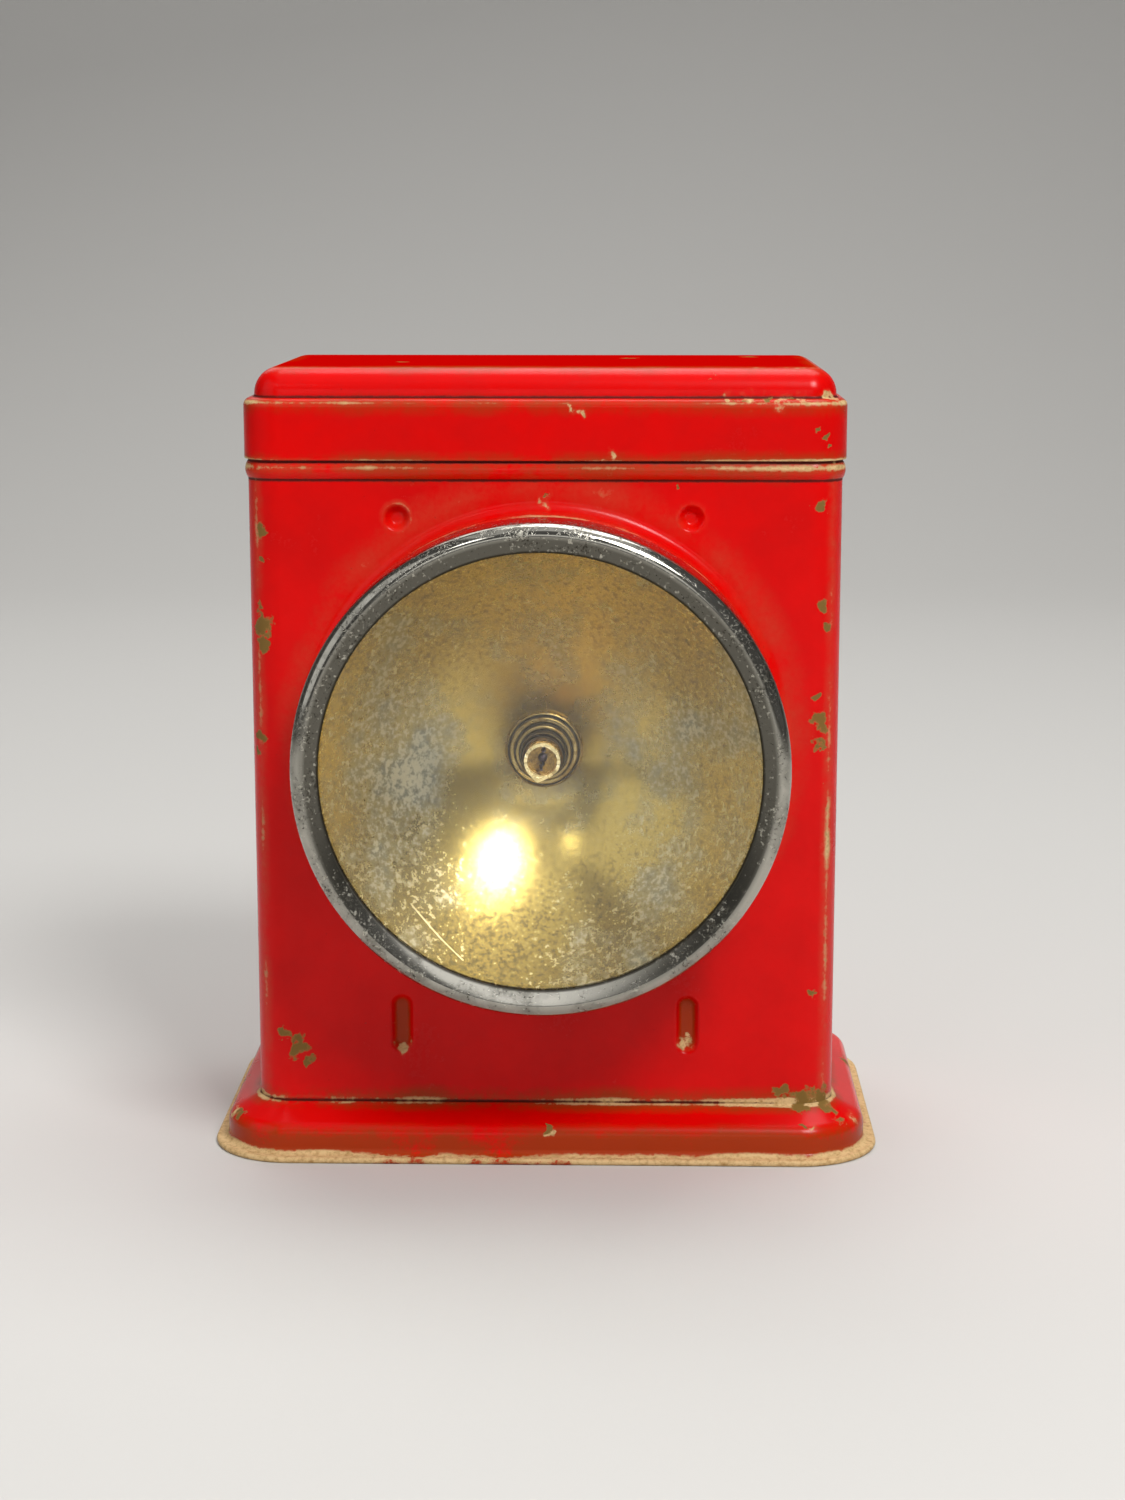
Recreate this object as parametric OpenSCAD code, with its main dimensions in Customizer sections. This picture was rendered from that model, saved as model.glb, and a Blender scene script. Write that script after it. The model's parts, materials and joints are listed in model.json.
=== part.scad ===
// Box lantern for two round dry cells, with a reflector lamp in a collar drawn out of its front.
// Sizes are in millimetres. +Z is up, the lamp faces -Y, and the origin is the middle of the
// standing plane under the plinth.

/* [Cells] */
// Diameter of a dry cell over its paper jacket
cell_d = 66.6; // [64:0.2:70]
// Height of a cell's paper jacket
cell_h = 152; // [140:1:165]
// Gap between the two cells
cell_gap = 2.2; // [1:0.1:6]
// Thickness of the paper jacket
jacket_t = 1.2; // [0.8:0.1:2]
// Thickness of the zinc can's wall where it shows round the seal
zinc_t = 0.8; // [0.5:0.1:1.2]
// How far the pitch seal lies below the jacket's rim
seal_drop = 2; // [1:0.5:4]
// Thickness of the pitch seal
seal_t = 6; // [3:0.5:10]
// Diameter of the carbon rod
rod_d = 25; // [16:1:30]
// How far the carbon rod stands out of the seal
rod_rise = 3; // [2:0.5:6]
// Diameter of the brass cap on the carbon rod
cap_d = 12; // [9:0.5:15]
// Thickness of the brass cap, up to the seat of the terminals
cap_t = 2; // [1:0.5:3]
// Diameter of the threaded posts
post_d = 4; // [3:0.1:5]
// How far the threaded posts stand above the terminals' seat
post_rise = 10; // [8:0.5:12]
// Diameter of the foot of an edge post
edge_foot_d = 7; // [6:0.5:8]
// Room between the foot of an edge post and the zinc can
edge_post_room = 1.2; // [0.5:0.1:4]
// Direction of the left cell's edge post, round its axis from +X
left_edge_angle = 60; // [40:5:90]
// Diameter of a knurled nut
nut_d = 9; // [8:0.5:10]
// Height of a knurled nut
nut_h = 5; // [4:0.5:6]
// Depth of the knurls
knurl_depth = 0.35; // [0.2:0.05:0.5]
// Number of knurls round a nut
knurl_count = 24; // [16:2:36]

/* [Leads] */
// Thickness of the strap and of the ring terminals
strap_t = 0.8; // [0.5:0.1:1.2]
// Width of the strap that joins the cells
strap_w = 8; // [6:0.5:9]
// Diameter of a covered wire
wire_d = 2.2; // [1.6:0.1:2.6]
// Bend radius of a covered wire
wire_bend_r = 5; // [3:0.5:8]
// Diameter of a ring terminal
ring_d = 8; // [7:0.5:9]
// Width of the tongue between a ring terminal and its wire
tongue_w = 3; // [2:0.5:4]

/* [Case] */
// Thickness of the enamelled steel sheet
sheet = 0.6; // [0.4:0.05:0.8]
// Radius of the case's upright corners
case_corner_r = 8.5; // [7:0.5:12]
// Room between a cell and the side of the case
cell_side_room = 1.7; // [0.5:0.1:5]
// Room between the cells and the back of the case
cell_back_room = 5.1; // [4:0.1:12]
// Gap between a cell and the stops pressed into the front
cell_stop_gap = 0.3; // [0.1:0.05:1]
// Height of the case's rim above the jackets
rim_above_cells = 15.6; // [14:0.2:25]
// Height of the hem folded into the rim
rim_hem_h = 4; // [2:0.5:6]
// Height of the rolled bead that the lid sits over
bead_h = 4.2; // [3:0.1:6]
// How far the bead stands out of the case
bead_out = 0.7; // [0.4:0.05:1]
// Middle of the bead below the rim
bead_below_rim = 14.8; // [12:0.2:18]
// Gap between sheet pieces that are pressed into each other
fit_gap = 0.1; // [0.02:0.01:0.2]

/* [Stops pressed into the front] */
// Depth of the pressed stops
press_depth = 1.8; // [1:0.1:2.5]
// Diameter of a round stop at the face
dimple_d = 6.4; // [5:0.2:8]
// Diameter of the flat bottom of a round stop
dimple_flat_d = 3; // [2:0.2:4]
// Room between a round stop and the fillet of the collar
dimple_room = 2.4; // [1:0.1:4]
// Length of a slot stop at the face
slot_l = 14.6; // [10:0.2:18]
// Width of a slot stop at the face
slot_w = 5.9; // [5:0.1:8]
// Width of the flat bottom of a slot stop
slot_flat_w = 2.8; // [2:0.1:4]
// Middle of the slot stops above the cells' floor
slot_above_floor = 19.5; // [15:0.5:22]

/* [Plinth] */
// Height of the plinth where the case stands in it
plinth_h = 12.4; // [11:0.1:16]
// How far the lip stands out of the case
lip_out = 11.1; // [10.5:0.1:16]
// Thickness of the hemmed lip
lip_t = 1.5; // [1.2:0.1:2]
// Rounding of the lip's edge
lip_edge_r = 0.5; // [0.2:0.1:0.6]
// How far the upright face stands out of the case
shoulder_out = 8; // [7:0.1:9]
// Radius of the shoulder
shoulder_r = 4; // [2:0.1:5]
// Height at which the shoulder starts to round over
shoulder_z = 5.5; // [5:0.1:6.5]
// Radius of the cove above the lip
cove_r = 1.6; // [1:0.1:2]
// Height of the flanges turned down inside the plinth
flange_h = 6.4; // [4:0.1:8]

/* [Lid] */
// Thickness of the lid's sheet
lid_sheet = 0.5; // [0.4:0.05:0.7]
// Gap between the case's neck and the lid
lid_gap = 0.35; // [0.3:0.05:0.6]
// Gap between the bead and the lid's lower edge
lid_seat_gap = 0.4; // [0.3:0.05:1]
// Height of the ledge above the case's rim
ledge_above_rim = 2; // [1.6:0.1:4]
// Radius of the ledge's outer edge
ledge_edge_r = 2; // [1.5:0.1:2.5]
// Radius of the cove between the ledge and the crown
ledge_cove_r = 0.6; // [0.3:0.05:0.6]
// Height of the crown above the ledge
crown_h = 7.1; // [7:0.1:9]
// Radius of the crown's edge
crown_r = 6.3; // [4:0.1:6.4]
// Thickness of the fibre liner under the crown
liner_t = 1; // [0.5:0.1:1.5]
// Room between the liner and the rounding of the crown
liner_side_room = 1; // [0.5:0.1:3]

/* [Lamp] */
// Height of the lamp's axis above the middle of the case, between the cells' floor and the rim
lamp_rise = 3.5; // [0:0.1:6]
// Diameter that shows inside the bezel
view_d = 100.4; // [94:0.2:102]
// How far the bezel laps over the glass
glass_lap = 4.4; // [3:0.1:5]
// Thickness of the glass
glass_t = 2.5; // [2:0.1:4]
// Room round the glass inside the collar
glass_side_room = 0.8; // [0.5:0.1:1.5]
// Length of the collar in front of the case
collar_l = 28.9; // [24:0.1:34]
// Radius of the fillet where the collar is drawn out of the front
collar_fillet_r = 2.9; // [2:0.1:3.5]
// Width of the collar's edge, turned in as a seat for the reflector
collar_lip_w = 3; // [2:0.1:4]
// Thickness of the bezel's sheet
bezel_t = 0.5; // [0.4:0.05:0.8]
// Gap between the collar and the bezel
bezel_gap = 0.3; // [0.2:0.05:0.5]
// Length of the bezel's skirt over the collar
bezel_lap = 10.9; // [6:0.1:16]
// Radius of the bezel's front shoulder
bezel_r = 3.1; // [2.2:0.1:3.4]
// How far the bezel's shoulder stands in front of its inner edge
bezel_dish = 0.9; // [0.4:0.1:1.5]
// Thickness of the reflector's sheet
reflector_t = 0.5; // [0.4:0.05:0.8]
// Focal length of the reflector
focus = 20.9; // [19:0.1:24]
// Room between the bezel's opening and the mouth of the reflector
mouth_room = 0.2; // [0.1:0.05:1]

/* [Socket and bulb] */
// Outer diameter of the bulb's screw base
bulb_d = 9.5; // [9:0.1:10]
// Gap between the bulb and the bore of the socket
socket_gap = 0.3; // [0.3:0.05:0.5]
// Diameter of the socket's shank behind the reflector
shank_d = 14; // [13.6:0.2:15]
// Diameters of the socket's steps, from the flange to the mouth
step_d = [18, 16.2, 13.2, 10.8]; // [10:0.1:20]
// Length of each of the socket's steps
step_l = [1.2, 1.3, 2.4, 3]; // [1:0.1:4]
// Rounding of the socket's steps
step_r = 0.45; // [0.2:0.05:0.5]
// Length of the shank behind the flange
shank_l = 4.2; // [4:0.1:8]
// Thickness of the ring that holds the socket behind the reflector
socket_ring_t = 1.6; // [1:0.1:2]
// Diameter of the ring that holds the socket
socket_ring_d = 20; // [18:0.5:22]
// Thickness of the insulating disc in the socket
insulator_t = 2; // [1.5:0.1:3]
// Length of the boss that keeps the lead clear of the socket
boss_l = 0.8; // [0.5:0.1:1.5]
// Diameter of the boss
boss_d = 6.4; // [5.5:0.1:8]
// Diameter of the contact's stem
contact_d = 3; // [2:0.1:3.5]
// Diameter of the contact's head
contact_head_d = 5.2; // [4:0.1:6]
// Thickness of the contact's heads
contact_head_t = 0.8; // [0.5:0.1:1]
// Gap between the contact and the bulb's tip
tip_gap = 0.3; // [0.2:0.05:0.5]
// Diameter of the solder tip
tip_d = 4; // [3:0.1:4.5]
// Height of the solder tip
tip_h = 1.2; // [0.8:0.1:1.6]
// Height of the glass button between the tip and the screw base
bulb_button_h = 1.5; // [1:0.1:2]
// Length of the screw base
shell_l = 10.2; // [9:0.1:12]
// Thickness of the screw base's sheet
shell_t = 0.4; // [0.3:0.05:0.5]
// Pitch of the rolled thread
thread_pitch = 1.8; // [1.5:0.1:2]
// Number of turns of the rolled thread
thread_turns = 4; // [3:1:5]
// Depth of the rolled thread
thread_depth = 0.5; // [0.3:0.05:0.6]
// Depth of the cement below the front of the screw base
cement_drop = 1.6; // [1:0.1:3]
// Diameter of the broken neck of glass
glass_neck_d = 8.4; // [8:0.1:8.6]
// Thickness of the broken neck of glass
glass_neck_t = 0.7; // [0.5:0.05:1]
// Length of the broken neck in front of the screw base
glass_neck_l = 4.4; // [3:0.1:8]
// Length of the longest splinter beyond the broken neck
splinter_l = 4.6; // [2:0.1:6]
// Number of corners in the broken edge
break_count = 12; // [8:1:16]
// Share of the broken neck's length by which its edge rises and falls
break_share = 0.4; // [0.1:0.05:0.6]
// Direction of the longest splinter, round the lamp's axis from +X
splinter_angle = 255; // [0:5:355]
// Diameter of the filament's support posts
filament_post_d = 0.8; // [0.6:0.1:1]
// Length of the support posts, half of it in the cement
filament_post_l = 9; // [6:0.5:12]
// Distance between the support posts
filament_post_gap = 3.2; // [2:0.1:3.6]
// Diameter of the glass bridge that joins the support posts
bridge_d = 2.4; // [1.8:0.1:2.8]

/* [Switch] */
// Middle of the switch below the case's rim
switch_below_rim = 48; // [46:0.5:55]
// Travel of the switch
switch_travel = 8; // [6:0.5:9]
// Width of the switch's neck
switch_neck_w = 4.4; // [3:0.1:5]
// Height of the switch's neck
switch_neck_h = 6; // [5:0.1:7]
// Room round the neck in its slot
switch_neck_room = 0.3; // [0.2:0.05:0.5]
// Width of the thumb button
thumb_w = 11; // [9:0.5:13]
// Height of the thumb button
thumb_h = 15; // [13:0.5:18]
// How far the thumb button stands out
thumb_out = 4.5; // [3:0.1:6]
// Gap between the case and the thumb button
thumb_gap = 0.3; // [0.2:0.05:0.5]
// Number of grooves across the thumb button
groove_count = 5; // [3:1:6]
// Width of a groove
groove_w = 1; // [0.6:0.1:1.2]
// Width of the fibre plate
plate_w = 26; // [24:1:32]
// Thickness of the fibre plate
plate_t = 1.2; // [0.8:0.1:2]
// Reach of the fibre plate below the middle of the switch
plate_below = 16; // [15:0.5:20]
// Reach of the fibre plate above the middle of the switch
plate_above = 28; // [27:0.5:32]
// Thickness of the switch's brass strips
strip_t = 0.6; // [0.4:0.05:0.8]
// Width of the switch's brass strips
strip_w = 8; // [7:0.5:9]
// Length of the moving blade
blade_l = 22; // [20:0.5:23]
// Running gap between the blade and the fixed strip
blade_gap = 0.3; // [0.2:0.05:0.5]
// Lower end of the fixed strip above the middle of the switch
strip_start = 9; // [8.5:0.1:10]
// Terminal screw above the middle of the switch
screw_above = 22; // [21:0.5:23]
// Diameter of the terminal screw
screw_d = 2.8; // [2:0.1:3]
// Diameter of the terminal screw's head
screw_head_d = 6; // [5:0.5:7]
// Height of the terminal screw's head
screw_head_h = 1.5; // [1:0.1:2]
// Distance of the switch's rivets from its middle line
switch_rivet_x = 9; // [8:0.5:10]

/* [Handle and rivets] */
// Pivots of the bail below the case's rim
bail_below_rim = 30; // [28:0.5:40]
// Diameter of the bail's wire
bail_d = 4; // [3:0.1:5]
// Width of the bail between the middles of its legs
bail_w = 120; // [110:1:124]
// Length of the bail from its pivots to its grip
bail_l = 90; // [75:1:110]
// Bend radius of the bail's corners
bail_bend_r = 14; // [8:0.5:20]
// Running gap between the bail and its ears
bail_gap = 0.1; // [0.05:0.01:0.1]
// Distance of the pivots from the back of the case
pivot_out = 3.7; // [3.5:0.1:5]
// Bend radius where a leg of the bail turns into its ear
pin_bend_r = 4; // [3.5:0.5:8]
// Width of an ear
ear_w = 12; // [8:0.5:14]
// Height of an ear's plate
ear_h = 24; // [22:0.5:30]
// Thickness of an ear's sheet
ear_t = 1; // [0.8:0.1:1.4]
// Distance of an ear's rivets from the pivot
ear_rivet_off = 8; // [7:0.1:9]
// How far the bail's ends stand out of the ears
bail_end_out = 1; // [0.5:0.1:3]
// Diameter of the rivets
rivet_d = 3; // [2:0.1:3.4]
// Diameter of the rivets' heads
rivet_head_d = 5.6; // [4.5:0.1:6]
// Height of the rivets' heads
rivet_head_h = 1.4; // [1:0.1:2]

/* [Hidden] */
$fn = 64;
arc_steps = 8;
small_arc_steps = 4;
dish_steps = 24;
cut = 1;
lap = 0.2;

cell_r = cell_d / 2;
inner_w = 2 * cell_d + cell_gap + 2 * cell_side_room;
body_w = inner_w + 2 * sheet;
front_room = press_depth + cell_stop_gap;
body_d = cell_d + front_room + cell_back_room + 2 * sheet;
front_y = -body_d / 2;
back_y = body_d / 2;
cell_x = (cell_d + cell_gap) / 2;
cell_y = front_y + sheet + front_room + cell_r;

floor_z = plinth_h;
flange_z = plinth_h - flange_h;
jacket_top = floor_z + cell_h;
seal_top = jacket_top - seal_drop;
seal_bottom = seal_top - seal_t;
core_r = cell_r - jacket_t - fit_gap;
core_top = jacket_top - fit_gap;
well_r = core_r - zinc_t;
edge_post_r = well_r - edge_post_room - edge_foot_d / 2;
rod_top = seal_top + rod_rise;
terminal_z = rod_top + cap_t;
nut_z = terminal_z + strap_t;
left_edge = [
    -cell_x + edge_post_r * cos(left_edge_angle),
    cell_y + edge_post_r * sin(left_edge_angle)
];
right_edge = [cell_x - edge_post_r, cell_y];

rim_z = jacket_top + rim_above_cells;
bead_z = rim_z - bead_below_rim;
lamp_z = (floor_z + rim_z) / 2 + lamp_rise;
switch_z = rim_z - switch_below_rim;
bail_z = rim_z - bail_below_rim;
bead_r = (bead_h * bead_h / 4 + bead_out * bead_out) / (2 * bead_out);

lid_out = lid_gap + lid_sheet;
lid_w = body_w + 2 * lid_out;
lid_d = body_d + 2 * lid_out;
lid_corner_r = case_corner_r + lid_out;
skirt_z = bead_z + bead_h / 2 + lid_seat_gap;
ledge_z = rim_z + ledge_above_rim;
lid_top = ledge_z + crown_h;
step_in = ledge_edge_r + ledge_cove_r;
crown_in = step_in + crown_r;

view_r = view_d / 2;
glass_r = view_r + glass_lap;
collar_in = glass_r + glass_side_room;
collar_r = collar_in + sheet;
fillet_end = collar_r + collar_fillet_r;
dimple_z = lamp_z + sqrt(pow(fillet_end + dimple_room + dimple_d / 2, 2) - cell_x * cell_x);
bezel_in = collar_r + bezel_gap;
bezel_out = bezel_in + bezel_t;
rim_s = collar_l + reflector_t;
glass_s = rim_s + glass_t;
mouth_r = view_r + mouth_room;
apex_s = rim_s - mouth_r * mouth_r / (4 * focus);

bulb_r = bulb_d / 2;
bore_r = bulb_r + socket_gap;
hole_r = shank_d / 2 + fit_gap;
flange_s = dish_s(step_d[0] / 2) + fit_gap;
shank_s = flange_s - shank_l;
insulator_s = shank_s + insulator_t;
contact_s = insulator_s + contact_head_t;
tip_s = contact_s + tip_gap;
bulb_button_s = tip_s + tip_h;
shell_s = bulb_button_s + bulb_button_h;
shell_end = shell_s + shell_l;
cement_s = shell_end - cement_drop;
tail_s = shank_s - boss_l;
lead_s = tail_s - strap_t;

slot_h = switch_neck_h + switch_travel + 2 * switch_neck_room;
thumb_z = switch_z - switch_travel / 2;
plate_y = back_y - sheet - plate_t;
strip_y = plate_y - strip_t;
blade_y = strip_y - blade_gap - strip_t;
peen_y = blade_y - strip_t;
screw_z = switch_z + screw_above;
screw_ring_y = strip_y - strap_t;

pivot_y = back_y + pivot_out;
knuckle_r = bail_d / 2 + bail_gap + ear_t;
ear_x = bail_w / 2 - pin_bend_r - ear_w / 2;
pin_end_x = ear_x - ear_w / 2 - bail_end_out;

paint = "firebrick";
plated = "silver";
brassy = "darkkhaki";
fibre = "saddlebrown";

// Points of an arc about c from angle a0 to angle a1, which can leave out its first point
function arc(c, r, a0, a1, n = arc_steps, first = 0) =
    [for (i = [first:n]) let (a = a0 + (a1 - a0) * i / n) c + r * [cos(a), sin(a)]];

function reversed(points) = [for (i = [len(points) - 1:-1:0]) points[i]];

function sum(list, n) = n == 0 ? 0 : list[n - 1] + sum(list, n - 1);

// Distance in front of the case's face of the reflecting surface at radius r
function dish_s(r) = apex_s + r * r / (4 * focus);

// Sweeps a profile round a rectangle with rounded corners. The profile's x runs outward from the
// rectangle's edge, and its y is the height.
module swept_round(w, d, r) {
    for (sx = [0, 1], sy = [0, 1])
        mirror([sx, 0, 0])
            mirror([0, sy, 0])
                translate([w / 2 - r, d / 2 - r, 0])
                    rotate_extrude(angle = 90)
                        translate([r, 0])
                            children();
    for (s = [0, 1])
        mirror([s, 0, 0])
            translate([w / 2, 0, 0])
                rotate([90, 0, 0])
                    linear_extrude(d - 2 * r, center = true)
                        children();
    for (s = [0, 1])
        mirror([0, s, 0])
            translate([0, d / 2, 0])
                rotate([90, 0, 90])
                    linear_extrude(w - 2 * r, center = true)
                        children();
}

// The middle of a sheet whose edge is swept round the same rectangle, with a small lap onto that edge
module swept_middle(w, d, r, z, t) {
    in = r - lap;
    translate([in - w / 2, in - d / 2, z])
        cube([w - 2 * in, d - 2 * in, t]);
}

// Turns a profile about the lamp's axis. Its x is the radius, and its y the distance in front of the case.
module on_lamp_axis()
    translate([0, front_y, lamp_z])
        rotate([90, 0, 0])
            rotate_extrude()
                children();

// Places what stands up in Z so that it points forward out of the front, at x and z
module on_front(x, z)
    translate([x, front_y, z])
        rotate([90, 0, 0])
            children();

// Places what stands up in Z so that it points backward, at x, y and z
module facing_back(x, y, z)
    translate([x, y, z])
        rotate([-90, 0, 0])
            children();

module tube(h, outer, inner)
    difference() {
        cylinder(h, r = outer);
        translate([0, 0, -cut])
            cylinder(h + 2 * cut, r = inner);
    }

module for_cells()
    for (s = [-1, 1])
        translate([s * cell_x, cell_y, 0])
            children();

// Outline with round ends, l long in Y and w wide
module stadium(l, w) {
    square([w, l - w], center = true);
    for (s = [-1, 1])
        translate([0, s * (l - w) / 2])
            circle(d = w);
}

// A bar l long with round ends, which narrows from w to flat_w over the press depth, with a straight mouth
module pressed_bar(l, w, flat_w, mouth) {
    run = l - w;
    for (s = [-1, 1])
        translate([0, s * run / 2, -press_depth])
            cylinder(press_depth, d1 = flat_w, d2 = w);
    rotate([90, 0, 0])
        linear_extrude(run, center = true)
            polygon([[-flat_w / 2, -press_depth], [flat_w / 2, -press_depth], [w / 2, 0], [-w / 2, 0]]);
    linear_extrude(mouth)
        stadium(l, w);
}

// A round stop that narrows from d to flat_d over the press depth, with a straight mouth
module pressed_dimple(d, flat_d, mouth) {
    translate([0, 0, -press_depth])
        cylinder(press_depth, d1 = flat_d, d2 = d);
    cylinder(mouth, d = d);
}

// A round-headed rivet with its head above the plane z = 0 and a plain foot below its grip
module rivet(grip) {
    dome_r = (pow(rivet_head_d / 2, 2) + pow(rivet_head_h, 2)) / (2 * rivet_head_h);
    dome_a = asin(rivet_head_d / 2 / dome_r);
    rotate_extrude()
        polygon(concat(
            [[0, -grip - rivet_head_h / 2]],
            [[rivet_head_d / 2, -grip - rivet_head_h / 2]],
            [[rivet_head_d / 2, -grip], [rivet_d / 2, -grip], [rivet_d / 2, 0]],
            arc([0, rivet_head_h - dome_r], dome_r, 90 - dome_a, 90)
        ));
}

// Profile of the case's wall with its bead and the hem at its rim
module wall_profile() {
    bead_c = [bead_out - bead_r, bead_z];
    a_out = asin(bead_h / 2 / bead_r);
    a_in = acos((bead_r - bead_out - sheet) / (bead_r - sheet));
    polygon(concat(
        [[0, flange_z]],
        arc(bead_c, bead_r, -a_out, a_out),
        [[0, rim_z], [-2 * sheet, rim_z], [-2 * sheet, rim_z - rim_hem_h], [-sheet, rim_z - rim_hem_h]],
        arc(bead_c, bead_r - sheet, a_in, -a_in),
        [[-sheet, flange_z]]
    ));
}

// Profile of the collar, from the flat front through its fillet to the seat of the reflector
module collar_profile() {
    c = [fillet_end, collar_fillet_r];
    polygon(concat(
        [[fillet_end + cut, 0]],
        arc(c, collar_fillet_r, 270, 180),
        [[collar_r, collar_l], [collar_in - collar_lip_w, collar_l]],
        [[collar_in - collar_lip_w, collar_l - sheet], [collar_in, collar_l - sheet]],
        arc(c, collar_fillet_r + sheet, 180, 270),
        [[fillet_end + cut, -sheet]]
    ));
}

// The stops pressed into the front, as solids made larger by grow, with straight mouths
module stops(grow, mouth) {
    for (s = [-1, 1]) {
        on_front(s * cell_x, dimple_z)
            translate([0, 0, -grow])
                pressed_dimple(dimple_d + 2 * grow, dimple_flat_d + 2 * grow, mouth);
        on_front(s * cell_x, floor_z + slot_above_floor)
            translate([0, 0, -grow])
                pressed_bar(slot_l + 2 * grow, slot_w + 2 * grow, slot_flat_w + 2 * grow, mouth);
    }
}

module case()
    color(paint)
        difference() {
            union() {
                difference() {
                    swept_round(body_w, body_d, case_corner_r)
                        wall_profile();
                    on_front(0, lamp_z)
                        translate([0, 0, -sheet - cut])
                            cylinder(sheet + 2 * cut, r = fillet_end + cut / 2);
                }
                on_lamp_axis()
                    collar_profile();
                stops(sheet, sheet / 2);
            }
            stops(0, cut);
            translate([-switch_neck_w / 2 - switch_neck_room, back_y - sheet - cut, switch_z - slot_h / 2])
                cube([switch_neck_w + 2 * switch_neck_room, sheet + 2 * cut, slot_h]);
            rivet_holes(sheet);
        }

// Holes for the rivets of the switch and of the ears, through a wall of thickness t
module rivet_holes(t) {
    for (s = [-1, 1]) {
        facing_back(s * switch_rivet_x, back_y - t - cut, switch_z)
            cylinder(t + 2 * cut, d = rivet_d + fit_gap);
        for (k = [-1, 1])
            facing_back(s * ear_x, back_y - t - cut, bail_z + k * ear_rivet_off)
                cylinder(t + 2 * cut, d = rivet_d + fit_gap);
    }
}

// Profile of the plinth: flange, slope, shoulder, upright face, cove and hemmed lip
module plinth_profile() {
    c = [shoulder_out - shoulder_r, shoulder_z];
    top = [fit_gap, plinth_h];
    away = top - c;
    a = atan2(away[1], away[0]) - acos(shoulder_r / norm(away));
    under = c + (shoulder_r - sheet) * [cos(a), sin(a)];
    under_x = fit_gap + sheet;
    cove_c = [shoulder_out + cove_r, lip_t + cove_r];
    edge_x = lip_out - lip_edge_r;
    polygon(concat(
        [[fit_gap, flange_z], top],
        arc(c, shoulder_r, a, 0),
        arc(cove_c, cove_r, 180, 270),
        arc([edge_x, lip_t - lip_edge_r], lip_edge_r, 90, 0, small_arc_steps),
        arc([edge_x, lip_edge_r], lip_edge_r, 0, -90, small_arc_steps),
        [[cove_c[0], 0]],
        arc(cove_c, cove_r + sheet, 270, 180),
        arc(c, shoulder_r - sheet, 0, a),
        [[under_x, under[1] + (under[0] - under_x) / tan(a)], [under_x, flange_z]]
    ));
}

module plinth()
    color(paint)
        swept_round(body_w, body_d, case_corner_r)
            plinth_profile();

module floor_pan() {
    edge = -sheet - fit_gap;
    end = lap / 2 - case_corner_r;
    color(plated) {
        swept_round(body_w, body_d, case_corner_r)
            polygon([
                [edge, flange_z], [edge, floor_z], [end, floor_z],
                [end, floor_z - sheet], [edge - sheet, floor_z - sheet], [edge - sheet, flange_z]
            ]);
        swept_middle(body_w, body_d, case_corner_r, floor_z - sheet, sheet);
    }
}

// Line of the lid's sheet from its lower edge to its flat top, moved in by t
function lid_line(t) = concat(
    [[-t, skirt_z]],
    arc([-ledge_edge_r, ledge_z - ledge_edge_r], ledge_edge_r - t, 0, 90),
    arc([-ledge_edge_r, ledge_z + ledge_cove_r], ledge_cove_r + t, 270, 180, first = 1),
    arc([-crown_in, lid_top - crown_r], crown_r - t, 0, 90),
    [[lap / 2 - lid_corner_r, lid_top - t]]
);

module lid()
    color(paint) {
        swept_round(lid_w, lid_d, lid_corner_r)
            polygon(concat(lid_line(0), reversed(lid_line(lid_sheet))));
        swept_middle(lid_w, lid_d, lid_corner_r, lid_top - lid_sheet, lid_sheet);
    }

module lid_liner() {
    in = crown_in + liner_side_room;
    color(fibre)
        translate([in - lid_w / 2, in - lid_d / 2, lid_top - lid_sheet - liner_t])
            cube([lid_w - 2 * in, lid_d - 2 * in, liner_t]);
}

// Line of the bezel's sheet from its rear edge over the shoulder to its inner edge, moved in by t
function bezel_line(t) = concat(
    [[bezel_out - t, collar_l - bezel_lap]],
    arc([bezel_out - bezel_r, glass_s + bezel_t + bezel_dish - bezel_r], bezel_r - t, 0, 90),
    [[view_r, glass_s + bezel_t - t]]
);

module bezel()
    color(plated)
        on_lamp_axis()
            polygon(concat(bezel_line(0), reversed(bezel_line(bezel_t))));

module glass_lens()
    color("lightcyan", 0.4)
        on_front(0, lamp_z)
            translate([0, 0, rim_s])
                cylinder(glass_t, r = glass_r);

// Point of the reflector's bowl at radius r, moved back through the sheet by t
function dish_point(r, t) =
    let (slope = r / (2 * focus), n = norm([slope, 1]))
        [r + t * slope / n, dish_s(r) - t / n];

module reflector() {
    radii = [for (i = [0:dish_steps]) hole_r + (mouth_r - hole_r) * i / dish_steps];
    rear = [for (r = reversed(radii)) dish_point(r, reflector_t)];
    color("gainsboro")
        on_lamp_axis()
            polygon(concat(
                [for (r = radii) dish_point(r, 0)],
                [[glass_r, rim_s], [glass_r, collar_l], [mouth_r + reflector_t, collar_l]],
                [for (p = rear) if (p[1] < collar_l - reflector_t) p]
            ));
}

// Rounded steps of the socket, from the mouth back to the flange
function socket_steps() = [
    for (i = [len(step_d) - 1:-1:0])
        let (r = step_d[i] / 2, end = flange_s + sum(step_l, i + 1))
            each concat(
                reversed(arc([r - step_r, end - step_r], step_r, 0, 90, small_arc_steps)),
                [[r, end - step_l[i]]]
            )
];

module lamp_socket()
    color(brassy)
        on_lamp_axis()
            polygon(concat(
                [[bore_r, shank_s], [bore_r, flange_s + sum(step_l, len(step_l))]],
                socket_steps(),
                [[shank_d / 2, flange_s], [shank_d / 2, shank_s]]
            ));

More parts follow.
